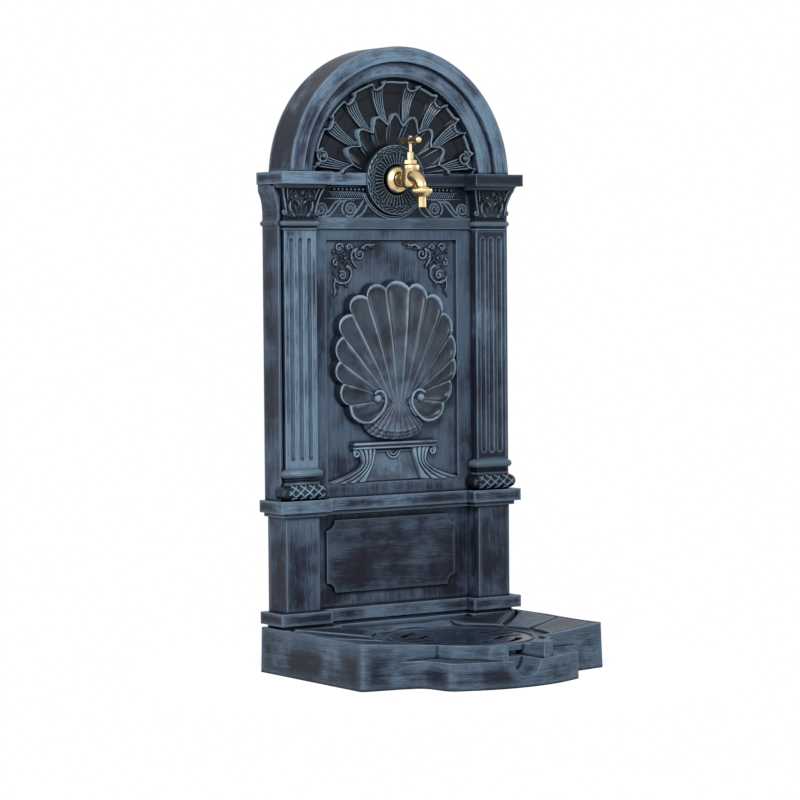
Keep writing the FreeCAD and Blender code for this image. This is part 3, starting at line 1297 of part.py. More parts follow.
def make_cover():
    """The flat rear cover with its screw holes, the hose exit and two holes for wall hooks."""
    low = seat_level + s.ease
    plate_box = box("cover_plate", (-s.cover_half, s.cover_half), (cover_face, back), (low, cornice_top))
    inner = s.arch_radius - s.wall - s.ease
    disc = cut("cover_head", rod("cover_disc", inner, (0, cover_face, arch_level), s.cover_thick, "y"),
               [box("cover_disc_below", (-inner - over, inner + over), (front, back + over),
                    (arch_level - inner - over, cornice_top))])
    tools = []
    for place_group in cover_screw_places():
        for x, z in place_group:
            index = len(tools)
            tools.append(rod(f"cover_hole_{index}", s.cover_screw + s.fit, (x, cover_face - over, z),
                             s.cover_thick + over * 2, "y"))
            tools.append(cone(f"cover_sink_{index}", s.cover_screw + s.fit, s.cover_head + s.fit,
                              (x, back - s.cover_head_height, z), s.cover_head_height, "y"))
    exit_low = middle_top + s.hose_low
    tools.append(box("hose_exit", (-s.hose_half, s.hose_half), (cover_face - over, back + over),
                     (exit_low, exit_low + s.hose_height)))
    for side in (-1, 1):
        hook = (side * s.hook_spacing / 2, cover_face - over, cornice_top - s.hook_drop)
        tools.append(rod(f"hook_hole_{side}", s.hook_radius, hook, s.cover_thick + over * 2, "y"))
    node("rear_cover", cut("cover", fuse("cover_full", [plate_box, disc]), tools))


def make_screws():
    """Countersunk screws of the rear cover, and the screws that hold the column to the basin."""
    screws = []
    for place_group in cover_screw_places():
        for x, z in place_group:
            index = len(screws)
            shank = rod(f"cover_screw_shank_{index}", s.cover_screw,
                        (x, cover_face - s.cover_bite + over, z), s.cover_thick + s.cover_bite - over, "y")
            head = cone(f"cover_screw_head_{index}", s.cover_screw, s.cover_head,
                        (x, back - s.cover_head_height, z), s.cover_head_height, "y")
            screws.append(fuse(f"cover_screw_{index}", [shank, head]))
    node("cover_screws", group("cover_screw_group", screws))
    fixings = []
    deck_under = s.floor_height - s.basin_wall
    for x in (s.base_screw_inner, s.base_screw_outer):
        for side in (-1, 1):
            index = len(fixings)
            shank = rod(f"base_screw_shank_{index}", s.base_screw, (side * x, screw_line, deck_under),
                        seat_level - deck_under + s.base_bite - over)
            head = rod(f"base_screw_head_{index}", s.base_head,
                       (side * x, screw_line, deck_under - s.base_head_height), s.base_head_height)
            fixings.append(fuse(f"base_screw_{index}", [shank, head]))
    node("base_screws", group("base_screw_group", fixings))


barrel_low = tap_level - s.barrel_low
barrel_top = tap_level + s.barrel_high
seat_top = tap_level + s.seat_rise
outlet_line = tap_line - s.spout_reach
outlet_low = tap_level - s.spout_drop
spout_level = tap_level + s.spout_rise
plate_face = shell_back
lock_face = plate_face + s.plate_thick
spigot_end = lock_face + s.lock_thick + s.shank_bite


BEND = Rotation(Vector(0, 0, 1), Vector(0, -1, 0), Vector(1, 0, 0), "ZXY")


def spout_pipe(name, radius, low):
    """A tube from the barrel's axis forward, round a bend and down to a level."""
    bend_y = outlet_line + s.spout_bend
    bend = doc.addObject("Part::Torus", f"{name}_bend")
    bind(bend, "Radius1", s.spout_bend)
    bind(bend, "Radius2", radius)
    bind(bend, "Angle3", 90)
    place(bend, (0, bend_y, spout_level - s.spout_bend), BEND)
    return fuse(name, [
        rod(f"{name}_reach", radius, (0, bend_y, spout_level), tap_line - bend_y, "y"),
        bend,
        rod(f"{name}_drop", radius, (0, outlet_line, low), spout_level - s.spout_bend - low)])


def make_tap_body():
    """The tap's casting: barrel, neck, threaded shank and spout, with the waterway through it."""
    barrel = rod("barrel", s.barrel_radius, (0, tap_line, barrel_low), barrel_top - barrel_low)
    neck = rod("tap_neck", s.tap_neck_radius, (0, tap_line, tap_level),
               rosette_face - s.flange_thick - tap_line, "y")
    shank = rod("tap_shank", s.spigot_radius, (0, rosette_face - s.flange_thick, tap_level),
                spigot_end - rosette_face + s.flange_thick, "y")
    spout = spout_pipe("spout", s.spout_radius, outlet_low)
    thread = rod("outlet_thread", s.thread_radius, (0, outlet_line, outlet_low), s.thread_height)
    foot = cone("barrel_foot", s.barrel_foot, s.barrel_radius, (0, tap_line, barrel_low - s.seat_web),
                s.seat_web)
    tools = [
        rod("lower_chamber", s.lower_chamber, (0, tap_line, barrel_low + s.seat_web),
            seat_top - s.seat_web - barrel_low - s.seat_web),
        rod("seat_hole", s.seat_bore, (0, tap_line, barrel_low + s.seat_web), seat_top - barrel_low),
        rod("upper_chamber", s.chamber_radius, (0, tap_line, seat_top), barrel_top - seat_top + over),
        rod("inlet_way", s.water_radius, (0, tap_line, tap_level - s.inlet_drop),
            spigot_end - tap_line + over, "y"),
        spout_pipe("outlet_channel", s.water_radius, outlet_low - over),
    ]
    node("tap_body", cut("tap_casting", fuse("tap_solid", [barrel, foot, neck, shank, spout, thread]), tools))


def make_tap_fixings():
    """Flange, backing plate, lock nut, and the elbow and tail of the inlet."""
    clear = s.spigot_radius + s.fit
    flange = cone("flange_cone", s.flange_neck, s.flange_radius,
                  (0, rosette_face - s.flange_thick, tap_level), s.flange_thick, "y")
    node("tap_flange", cut("flange", flange, [
        rod("flange_bore", clear, (0, rosette_face - s.flange_thick - over, tap_level),
            s.flange_thick + over * 2, "y")]))
    plate_top = cornice_top - s.wall
    steel = box("backing", (-s.plate_half, s.plate_half), (plate_face, lock_face),
                (plate_top - s.plate_height, plate_top))
    node("backing_plate", cut("backing_drilled", steel, [
        rod("backing_hole", clear, (0, plate_face - over, tap_level), s.plate_thick + over * 2, "y")]))
    nut = hexagon("lock_hex", s.lock_flat, (0, lock_face, tap_level), s.lock_thick, "y")
    node("lock_nut", cut("lock_nut_body", nut, [
        rod("lock_bore", clear, (0, lock_face - over, tap_level), s.lock_thick + over * 2, "y")]))
    socket_start = lock_face + s.lock_thick
    leg_line = socket_start + s.leg_set
    socket = rod("elbow_socket", s.elbow_radius, (0, socket_start, tap_level), s.elbow_length, "y")
    leg = rod("elbow_leg", s.leg_radius, (0, leg_line, tap_level - s.leg_length), s.leg_length)
    elbow = cut("elbow", fuse("elbow_solid", [socket, leg]), [
        rod("elbow_bore", clear, (0, socket_start - over, tap_level),
            s.elbow_length - s.elbow_end + over, "y"),
        rod("elbow_leg_bore", s.inlet_bore, (0, leg_line, tap_level - s.leg_length - over), s.leg_length)])
    node("inlet_elbow", elbow)
    tail_top = tap_level - s.leg_length
    tail = fuse("inlet_tail_solid", [
        rod("inlet_tail_tube", s.inlet_radius, (0, leg_line, tail_top - s.inlet_length), s.inlet_length),
        rod("inlet_tail_collar", s.leg_radius, (0, leg_line, tail_top - s.tail_collar), s.tail_collar)])
    node("inlet_tail", cut("inlet_tail_body", tail, [
        rod("inlet_tail_bore", s.inlet_bore, (0, leg_line, tail_top - s.inlet_length - over),
            s.inlet_length + over * 2)]))


# The handle screw: its shank's share of the hub's height, and its head's radius in shank radii
HUB_SCREW_SHARE = 2 / 3
HUB_SCREW_HEAD = 2


def make_valve():
    """Bonnet, gasket, packing, gland nut, spindle, handle and its screw, jumper and seal."""
    axis = (0, tap_line)
    hex_low = barrel_top + s.gasket_thick
    hex_top = hex_low + s.bonnet_hex
    gasket = rod("gasket_disc", s.bonnet_flat / 2 + s.gasket_thick, (*axis, barrel_top), s.gasket_thick)
    node("bonnet_gasket", cut("bonnet_gasket_body", gasket, [
        rod("gasket_hole", s.chamber_radius, (*axis, barrel_top - over), s.gasket_thick + over * 2)]))
    packing_low = hex_top - s.gland_sink - s.packing_height
    bonnet = fuse("bonnet_solid", [
        hexagon("bonnet_hexagon", s.bonnet_flat, (*axis, hex_low), s.bonnet_hex),
        rod("bonnet_shank_rod", s.chamber_radius, (*axis, hex_low - s.bonnet_shank), s.bonnet_shank)])
    node("bonnet", cut("bonnet_body", bonnet, [
        rod("bonnet_thread", s.screw_radius + s.fit, (*axis, hex_low - s.bonnet_shank - over),
            packing_low - over - hex_low + s.bonnet_shank + over),
        rod("bonnet_stem_hole", s.stem_radius + s.fit, (*axis, packing_low - over * 2),
            s.packing_height + over * 2),
        rod("packing_box", s.gland_shank, (*axis, packing_low), hex_top - packing_low + over)]))
    packing = rod("packing_ring", s.gland_shank, (*axis, packing_low), s.packing_height)
    node("gland_packing", cut("packing_body", packing, [
        rod("packing_hole", s.stem_radius + s.fit, (*axis, packing_low - over),
            s.packing_height + over * 2)]))
    gland = fuse("gland_solid", [
        rod("gland_shank_rod", s.gland_shank, (*axis, packing_low + s.packing_height), s.gland_sink),
        hexagon("gland_hexagon", s.gland_radius * 2, (*axis, hex_top), s.gland_height)])
    node("gland_nut", cut("gland_body", gland, [
        rod("gland_hole", s.stem_radius + s.fit, (*axis, packing_low),
            s.packing_height + s.gland_sink + s.gland_height + over)]))
    seal_top = seat_top + s.seal_thick
    node("valve_seal", rod("valve_seal_disc", s.jumper_radius, (*axis, seat_top + s.ease),
                           s.seal_thick - s.ease))
    stem_low = seal_top + s.jumper_thick
    node("valve_jumper", fuse("jumper_body", [
        rod("jumper_disc", s.jumper_radius, (*axis, seal_top), s.jumper_thick),
        rod("jumper_stem_rod", s.jumper_stem, (*axis, seal_top), s.jumper_length)]))
    screw_low = stem_low + s.ease
    hub_low = tap_level + s.handle_height - s.hub_height / 2
    hub_top = hub_low + s.hub_height
    spindle = fuse("spindle_solid", [
        rod("spindle_screw", s.screw_radius, (*axis, screw_low), s.screw_length),
        rod("spindle_stem", s.stem_radius, (*axis, screw_low), hub_top - s.gasket_thick - screw_low)])
    node("spindle", cut("spindle_body", spindle, [
        rod("spindle_bore", s.jumper_stem + s.fit, (*axis, screw_low - over),
            seal_top + s.jumper_length - screw_low + over + s.ease),
        rod("spindle_screw_hole", s.hub_screw, (*axis, hub_low), s.hub_height + over)]))
    half = s.handle_length / 2 - s.knob_radius
    level = tap_level + s.handle_height
    handle = fuse("handle_solid", [
        rod("handle_bar", s.handle_radius, (0, tap_line - half, level), half * 2, "y"),
        rod("handle_hub", s.hub_radius, (*axis, hub_low), s.hub_height),
        ball("handle_end_front", s.knob_radius, (0, tap_line - half, level)),
        ball("handle_end_back", s.knob_radius, (0, tap_line + half, level))])
    node("handle", cut("handle_body", handle, [
        rod("handle_hole", s.stem_radius, (*axis, hub_low - over), hub_top - s.gasket_thick - hub_low + over),
        rod("handle_screw_way", s.hub_screw, (*axis, hub_low), s.hub_height + over)]))
    screw_reach = s.hub_height * HUB_SCREW_SHARE
    node("handle_screw", fuse("handle_screw_body", [
        rod("handle_screw_shank", s.hub_screw, (*axis, hub_top - screw_reach), screw_reach),
        rod("handle_screw_head", s.hub_screw * HUB_SCREW_HEAD, (*axis, hub_top), s.hub_screw)]))


def make_outlet():
    """Hose washer, hose tail and the ribbed union nut that holds it to the outlet."""
    axis = (0, outlet_line)
    washer_low = outlet_low - s.tail_washer
    washer = rod("hose_washer_disc", s.tail_flange, (*axis, washer_low), s.tail_washer - s.ease)
    node("hose_washer", cut("hose_washer_body", washer, [
        rod("hose_washer_hole", s.tail_bore, (*axis, washer_low - over), s.tail_washer + over * 2)]))
    collar_low = washer_low - s.tail_collar
    nut_top = outlet_low + s.thread_height - s.union_back
    rim_low = nut_top - s.union_height
    nut_low = rim_low - s.union_taper
    neck_low = nut_low - s.tail_shoulder
    tail_low = nut_low - s.tail_length
    tail = fuse("tail_solid", [
        rod("tail_collar_disc", s.tail_flange, (*axis, collar_low), s.tail_collar),
        rod("tail_tube", s.tail_radius, (*axis, tail_low), neck_low - tail_low + over),
        rod("tail_neck_rod", s.tail_neck, (*axis, neck_low), collar_low - neck_low + over)])
    node("hose_tail", cut("tail_body", tail, [
        rod("tail_bore_hole", s.tail_bore, (*axis, tail_low - over), washer_low - tail_low + over * 2)]))
    ring = s.union_radius - s.union_rib
    shell = rod("union_shell", ring, (*axis, rim_low), s.union_height)
    skirt = cone("union_skirt", s.union_foot, ring, (*axis, nut_low), s.union_taper)
    ribs = []
    count = int(float(s.union_ribs))
    for index in range(count):
        angle = 2 * math.pi * index / count
        spot = (ring * math.cos(angle), outlet_line + ring * math.sin(angle), rim_low)
        ribs.append(rod(f"union_rib_{index}", s.union_rib, spot, s.union_height))
    nut = fuse("union_solid", [shell, skirt] + ribs)
    node("union_nut", cut("union_body", nut, [
        rod("union_thread", s.thread_radius + s.fit, (*axis, collar_low - s.ease),
            nut_top - collar_low + s.ease + over),
        rod("union_hole", s.tail_neck + s.fit, (*axis, nut_low - over), collar_low - nut_low + over)]))


make_basin()
make_grate()
make_plinth()
make_pedestal()
make_tablet()
make_middle()
make_panel()
for hand, word in ((-1, "left"), (1, "right")):
    make_pilaster_base(hand, word)
    make_pilaster(hand, word)
    make_capital(hand, word)
    make_cornice(hand, word)
    make_spray(hand, word)
make_frieze()
make_arch()
make_outer_fan()
make_inner_fan()
make_rosette()
make_shell()
make_stand()
make_cover()
make_screws()
make_tap_body()
make_tap_fixings()
make_valve()
make_outlet()

doc.recompute()
faults = [item.Name for item in doc.Objects if "Invalid" in item.State or "Error" in item.State]
faults += [item.Label for item in nodes if item.Shape.isNull() or not item.Shape.isValid()]
for item in doc.Objects:
    if item.TypeId != "Part::Cut" or item.Shape.isNull() or item.Base.Shape.isNull():
        continue
    if item.Shape.Volume > item.Base.Shape.Volume - 0.001:
        faults.append(f"{item.Name} takes nothing away")
if faults:
    raise SystemExit(f"these did not build: {faults}")

os.makedirs("parts", exist_ok=True)
for item in nodes:
    item.Shape.exportStep(f"parts/{item.Label}.step")
print(f"{len(nodes)} nodes")
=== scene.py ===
import math

import bpy
import numpy as np
from mathutils import Matrix, Vector


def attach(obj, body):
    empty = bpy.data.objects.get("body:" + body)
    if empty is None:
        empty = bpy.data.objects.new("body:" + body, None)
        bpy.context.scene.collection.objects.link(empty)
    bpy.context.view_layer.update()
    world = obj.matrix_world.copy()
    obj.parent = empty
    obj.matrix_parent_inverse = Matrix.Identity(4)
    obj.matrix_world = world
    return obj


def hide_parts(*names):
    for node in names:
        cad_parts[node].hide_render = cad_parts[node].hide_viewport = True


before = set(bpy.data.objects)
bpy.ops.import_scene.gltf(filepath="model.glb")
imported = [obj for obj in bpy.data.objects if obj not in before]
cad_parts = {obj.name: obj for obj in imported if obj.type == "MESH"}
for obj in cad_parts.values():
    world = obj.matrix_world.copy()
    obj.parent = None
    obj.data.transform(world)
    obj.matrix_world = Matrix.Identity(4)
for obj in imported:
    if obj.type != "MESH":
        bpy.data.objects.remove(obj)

# Garden wall fountain: the column's carved ornament, the tap's casting, flange, handle bar and union nut,
# and all finishes. Lengths are millimetres until a mesh is made; X right, Y to the wall, Z up. Those of
# materials, floor, lamps and the camera's clipping are metres.

MM = 0.001
scene = bpy.context.scene
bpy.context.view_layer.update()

# Places on the solids: the column's face, the sunken field's ground, the arch's and the tap's centre, the
# shell's hinge and the cornice's top

WALL_Y = 134.0
FIELD_Y = 139.0
ARCH_Z = 654.0
TAP_Z = 652.5
HINGE_Z = 355.0
CORNICE_TOP = 661.3

TINY = 1e-9
CREST_REACH = 3


# Shaping


def crest_of(grid, round_u, round_v, flip):
    """How far each point of a grid stands proud of the points round it, in millimetres."""
    even = grid
    slopes = []
    window = 2 * CREST_REACH + 1
    for axis, closed in ((0, round_u), (1, round_v)):
        mode = "wrap" if closed else "edge"
        count = even.shape[axis]
        width = [(0, 0)] * 3
        width[axis] = (CREST_REACH, CREST_REACH)
        padded = np.pad(even, width, mode=mode)
        even = sum(np.take(padded, range(k, k + count), axis=axis) for k in range(window)) / window
        width[axis] = (1, 1)
        near = np.pad(grid, width, mode=mode)
        after = np.take(near, range(2, count + 2), axis=axis)
        slopes.append(after - np.take(near, range(count), axis=axis))
    normal = np.cross(slopes[0], slopes[1])
    normal /= np.linalg.norm(normal, axis=-1, keepdims=True) + TINY
    return np.sum((grid - even) * normal, axis=-1) * (-1 if flip else 1)


def round_turn(count):
    """Angles of a full turn in equal steps."""
    return np.linspace(0, 2 * math.pi, count, endpoint=False)


class Form:
    """Points and faces of one piece, gathered from several shapes. Each point keeps a crest value:
    1 where a dry brush touches it, 0 on plain ground, -1 in a hollow, which gets painted shade."""

    def __init__(self):
        self.points = []
        self.crests = []
        self.faces = []
        self.count = 0

    def add(self, points, faces, crest=0.0):
        """Add points, the faces between them and their crest values."""
        points = np.asarray(points, float).reshape(-1, 3)
        self.faces += [tuple(index + self.count for index in face) for face in faces]
        self.points.append(points)
        self.crests.append(np.broadcast_to(np.asarray(crest, float).reshape(-1), len(points)))
        self.count += len(points)

    def sheet(self, grid, round_u=False, round_v=False, flip=False, relief=0.3, painted=None):
        """A surface through a grid of points; it faces the front where u runs right and v runs up.
        Relief is the height of a full crest, and painted adds crest values of its own."""
        rows, columns = grid.shape[:2]
        faces = []
        for i in range(rows if round_u else rows - 1):
            for j in range(columns if round_v else columns - 1):
                here = i * columns
                beyond = (i + 1) % rows * columns
                after = (j + 1) % columns
                face = (here + j, beyond + j, beyond + after, here + after)
                faces.append(face[::-1] if flip else face)
        crest = np.clip(crest_of(grid, round_u, round_v, flip) / relief, -1, 1)
        if painted is not None:
            crest = np.maximum(crest, painted)
        self.add(grid, faces, crest)

    def rings(self, path, side, rise, radii, turn):
        """Rings in the plane of side and rise round each point of a path, closed at both ends."""
        ring = side[:, None, :] * np.cos(turn)[None, :, None] + rise[:, None, :] * np.sin(turn)[None, :, None]
        start = self.count
        self.sheet(path[:, None, :] + ring * radii[:, None, None], round_v=True)
        last = self.count - len(turn)
        self.faces.append(tuple(start + k for k in range(len(turn))))
        self.faces.append(tuple(last + k for k in reversed(range(len(turn)))))

    def tube(self, path, radii, sides=8):
        """A round strand along a path, closed at both ends, brushed where it faces the front, with painted
        shade on its side toward the wall.
        """
        path = np.asarray(path, float)
        along = np.gradient(path, axis=0)
        along /= np.linalg.norm(along, axis=1)[:, None] + TINY
        side = np.cross(along, np.array([0.0, -1.0, 0.0]))
        lengths = np.linalg.norm(side, axis=1)[:, None]
        side = np.where(lengths > 0.05, side / (lengths + TINY), np.array([1.0, 0.0, 0.0]))
        turn = round_turn(sides)
        radii = np.broadcast_to(np.asarray(radii, float), len(path))
        self.rings(path, side, np.cross(side, along), radii, turn)
        # The side toward the wall gets a crest of -0.5: painted shade
        facing = np.clip(np.sin(turn), 0, 1) ** 1.5 - 0.5 * (np.sin(turn) < -0.1)
        self.crests[-1] = np.tile(facing, len(path))

    def pipe(self, path, radii, sides):
        """A round pipe along a path in the plane that cuts the object into left and right."""
        along = np.gradient(path, axis=0)
        along /= np.linalg.norm(along, axis=1)[:, None]
        side = np.array([[1.0, 0.0, 0.0]])
        self.rings(path, side, np.cross(side, along), radii, round_turn(sides))

    def ball(self, centre, radius, rings=8, sides=12):
        """A ball at a centre, brushed where it faces the front, with faint painted shade on its side toward
        the wall.
        """
        up = np.linspace(-math.pi / 2, math.pi / 2, rings + 1)
        turn = round_turn(sides)
        grid = np.stack([
            np.outer(np.cos(turn), np.cos(up)),
            np.outer(np.sin(turn), np.cos(up)),
            np.outer(np.ones(sides), np.sin(up))], axis=-1)
        self.sheet(np.asarray(centre, float) + grid * radius, round_u=True)
        self.crests[-1] = (0.9 * np.clip(-grid[..., 1], -0.2, 1) - 0.1).reshape(-1)

    def lathe(self, profile, centre, sides, axis="z"):
        """A profile of (radius, place along the axis) turned about the axis."""
        radius, place = np.array(profile, float).T
        turn = round_turn(sides)
        first = np.outer(np.cos(turn), radius)
        second = np.outer(np.sin(turn), radius)
        third = np.outer(np.ones(sides), place)
        order = {"z": (first, second, third), "y": (first, third, -second)}[axis]
        self.sheet(np.asarray(centre, float) + np.stack(order, axis=-1), round_u=True)

    def prism(self, corners, low, high, crest=0.0):
        """A closed prism through corners (x, z) between two depths, low in front."""
        front = [(x, low, z) for x, z in corners]
        back = [(x, high, z) for x, z in corners]
        sides = [front, back[::-1]]
        for k in range(len(corners)):
            after = (k + 1) % len(corners)
            sides.append([front[k], back[k], back[after], front[after]])
        points, faces = [], []
        for side in sides:
            faces.append(tuple(range(len(points), len(points) + len(side))))
            points += side
        self.add(points, faces, crest)

    def slab(self, half, low, high, ground, proud, crest=0.0):
        """A flat slab of a half width between two heights that stands proud of its ground."""
        corners = [(-half, low), (-half, high), (half, high), (half, low)]
        self.prism(corners, ground - proud, ground, crest)

    def last_crests(self, rows):
        """The crest values of the shape added last, in rows as in its grid, to be changed in place."""
        self.crests[-1] = self.crests[-1].copy()
        return self.crests[-1].reshape(rows, -1)

    def take(self, other, mirrored=False):
        """Add another form, or its mirror image left to right."""
        points = np.concatenate(other.points)
        faces = other.faces
        if mirrored:
            points = points * np.array([-1.0, 1.0, 1.0])
            faces = [face[::-1] for face in faces]
        self.add(points, faces, np.concatenate(other.crests))
        return self


def make_piece(name, form, material, replaces, body="fountain"):
    """Turn a form into a piece that rides on a body and stands for the solids it replaces."""
    mesh = bpy.data.meshes.new(name)
    mesh.from_pydata((np.concatenate(form.points) * MM).tolist(), [], form.faces)
    crest = mesh.attributes.new("crest", "FLOAT", "POINT")
    crest.data.foreach_set("value", np.concatenate(form.crests).astype(np.float32))
    mesh.validate()
    mesh.materials.append(material)
    mesh.polygons.foreach_set("use_smooth", [True] * len(mesh.polygons))
    piece = bpy.data.objects.new(name, mesh)
    scene.collection.objects.link(piece)
    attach(piece, body)
    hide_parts(*replaces)


def smooth_line(points, steps=8):
    """A smooth line through points."""
    points = np.asarray(points, float)
    padded = np.vstack([2 * points[0] - points[1], points, 2 * points[-1] - points[-2]])
    t = np.linspace(0, 1, steps, endpoint=False)[:, None]
    parts = []
    for k in range(len(points) - 1):
        a, b, c, d = padded[k:k + 4]
        parts.append(0.5 * (2 * b + (c - a) * t + (2 * a - 5 * b + 4 * c - d) * t ** 2
                            + (3 * b - a - 3 * c + d) * t ** 3))
    return np.vstack(parts + [points[-1:]])


def spiral(centre, start_radius, end_radius, start_angle, turns, steps=40):
    """Points (x, z) of a spiral; the angle is counted from the right, anticlockwise."""
    t = np.linspace(0, 1, steps)
    radius = start_radius + (end_radius - start_radius) * t ** 0.8
    angle = np.radians(start_angle) + 2 * math.pi * turns * t
    return np.stack([centre[0] + radius * np.cos(angle), centre[1] + radius * np.sin(angle)], axis=-1)


def lay(line, y):
    """A line of (x, z) laid at a depth."""
    line = np.asarray(line, float)
    return np.stack([line[:, 0], np.full(len(line), float(y)), line[:, 1]], axis=-1)


def taper(line, thick, thin):
    """Radii from thick to thin along a line."""
    return np.linspace(thick, thin, len(line))


def bump(x, width):
    """A round bump of unit height and half width."""
    return np.sqrt(np.clip(1 - (x / width) ** 2, 0, 1))


def bell(x, width):
    """A soft bump of unit height."""
    return np.exp(-(x / width) ** 2)


def ramp(x, low, high):
    """A smooth rise from 0 to 1 between two values."""
    t = np.clip((x - low) / (high - low), 0, 1)
    return t * t * (3 - 2 * t)


def grid_of(x, y, z):
    """A grid of points from its three coordinates, each spread over the whole grid."""
    return np.stack(np.broadcast_arrays(x, y, z), axis=-1)


def distance_to_nearest(angle, places):
    """The signed distance from each angle to the nearest of some places."""
    apart = angle[:, None] - np.array(places)[None, :]
    return apart[np.arange(len(angle)), np.abs(apart).argmin(axis=1)]


# Finishes


def node_group(name, inputs, outputs):
    """An empty shader node group with named sockets."""
    group = bpy.data.node_groups.new(name, "ShaderNodeTree")
    for label, kind, value in inputs:
        socket = group.interface.new_socket(label, in_out="INPUT", socket_type=kind)
        socket.default_value = value
    for label, kind in outputs:
        group.interface.new_socket(label, in_out="OUTPUT", socket_type=kind)
    return group, group.nodes.new("NodeGroupInput"), group.nodes.new("NodeGroupOutput")


FLOAT = "NodeSocketFloat"
VECTOR = "NodeSocketVector"
TO_FRONT = (0.0, -1.0, 0.0)
UPWARD = (0.0, 0.0, 1.0)


def maths(tree, operation, first, second=None):
    """A maths node fed by sockets or numbers; gives its output."""
    item = tree.nodes.new("ShaderNodeMath")
    item.operation = operation
    for index, value in enumerate((first, second)):
        if value is None:
            continue
        if isinstance(value, (int, float)):
            item.inputs[index].default_value = value
        else:
            tree.links.new(value, item.inputs[index])
    return item.outputs[0]


def vectors(tree, operation, first, second=None):
    """A vector maths node; the second input is a socket or a plain vector."""
    item = tree.nodes.new("ShaderNodeVectorMath")
    item.operation = operation
    tree.links.new(first, item.inputs[0])
    if isinstance(second, tuple):
        item.inputs[1].default_value = second
    elif second is not None:
        tree.links.new(second, item.inputs[1])
    return item.outputs["Value" if operation in ("DOT_PRODUCT", "LENGTH") else 0]


def spread(tree, value, low, high, out_low=0.0, out_high=1.0):
    """A value mapped smoothly from one range to another."""
    item = tree.nodes.new("ShaderNodeMapRange")
    item.interpolation_type = "SMOOTHSTEP"
    for index, number in enumerate((low, high, out_low, out_high), 1):
        if isinstance(number, (int, float)):
            item.inputs[index].default_value = number
        else:
            tree.links.new(number, item.inputs[index])
    tree.links.new(value, item.inputs[0])
    return item.outputs[0]


def weighted(tree, first, first_share, second, second_share):
    """The sum of two values, each times its own share."""
    return maths(tree, "ADD", maths(tree, "MULTIPLY", first, first_share),
                 maths(tree, "MULTIPLY", second, second_share))


def blend_colour(tree, share, first, second):
    """Two colours mixed by a share; each is a socket or a colour."""
    item = tree.nodes.new("ShaderNodeMix")
    item.data_type = "RGBA"
    item.clamp_factor = True
    tree.links.new(share, item.inputs["Factor"])
    for socket, value in ((item.inputs[6], first), (item.inputs[7], second)):
        if isinstance(value, tuple):
            socket.default_value = (*value, 1.0)
        else:
            tree.links.new(value, socket)
    return item.outputs[2]


def noise(tree, vector, scale, detail, rough):
    """A noise value at a scale."""
    item = tree.nodes.new("ShaderNodeTexNoise")
    item.inputs["Detail"].default_value = detail
    item.inputs["Roughness"].default_value = rough
    if isinstance(scale, (int, float)):
        item.inputs["Scale"].default_value = scale
    else:
        tree.links.new(scale, item.inputs["Scale"])
    tree.links.new(vector, item.inputs["Vector"])
    return item.outputs["Fac"]


def make_edge_wear_and_shade():
    """Raised edges: where the surface turns within a radius and lies open to the air; the ground beside them,
    the hollows, which get painted shade, and the faces turned to the front."""
    group, given, result = node_group(
        "edge_wear_and_shade", [("Radius", FLOAT, 0.0012), ("Beside", FLOAT, 0.009), ("Reach", FLOAT, 0.006),
                      ("Facing", VECTOR, TO_FRONT)],
        [("Edge", FLOAT), ("Near", FLOAT), ("Hollow", FLOAT), ("Front", FLOAT), ("Normal", VECTOR)])
    plain = group.nodes.new("ShaderNodeNewGeometry").outputs["Normal"]
    rounded = []
    agreement = []
    for label, samples in (("Radius", 6), ("Beside", 4)):
        soft = group.nodes.new("ShaderNodeBevel")
        soft.samples = samples
        group.links.new(given.outputs[label], soft.inputs["Radius"])
        rounded.append(soft.outputs[0])
        agreement.append(vectors(group, "DOT_PRODUCT", soft.outputs[0], plain))
    air = group.nodes.new("ShaderNodeAmbientOcclusion")
    air.samples = 6
    group.links.new(given.outputs["Reach"], air.inputs["Distance"])
    openness = air.outputs["AO"]
    front = vectors(group, "DOT_PRODUCT", plain, given.outputs["Facing"])
    turning = spread(group, agreement[0], 0.995, 0.83)
    beside = spread(group, agreement[1], 1.0, 0.9)
    edge = maths(group, "MULTIPLY", turning, spread(group, openness, 0.5, 0.85))
    near = maths(group, "MULTIPLY", beside, spread(group, openness, 0.6, 0.95))
    group.links.new(edge, result.inputs["Edge"])
    group.links.new(near, result.inputs["Near"])
    # Hollow: how closed in the surface lies; it thins the paint there and sets where painted shade falls
    group.links.new(spread(group, openness, 0.92, 0.4), result.inputs["Hollow"])
    group.links.new(spread(group, front, 0.2, 0.8), result.inputs["Front"])
    group.links.new(rounded[0], result.inputs["Normal"])
    return group


def make_crest_paint_and_shade():
    """Where a dry brush drawn over carving touches it, and the hollows where it never reaches, which get
    painted shade.
    """
    group, given, result = node_group("crest_paint_and_shade", [("Light", FLOAT, 0.35), ("Full", FLOAT, 0.9)],
                                      [("Paint", FLOAT), ("Deep", FLOAT)])
    crest = group.nodes.new("ShaderNodeAttribute")
    crest.attribute_name = "crest"
    group.links.new(spread(group, crest.outputs["Fac"], given.outputs["Light"], given.outputs["Full"]),
                    result.inputs["Paint"])
    # Deep: crest values below zero, the mask for painted shade in carved hollows
    group.links.new(spread(group, crest.outputs["Fac"], -0.1, -0.7), result.inputs["Deep"])
    return group


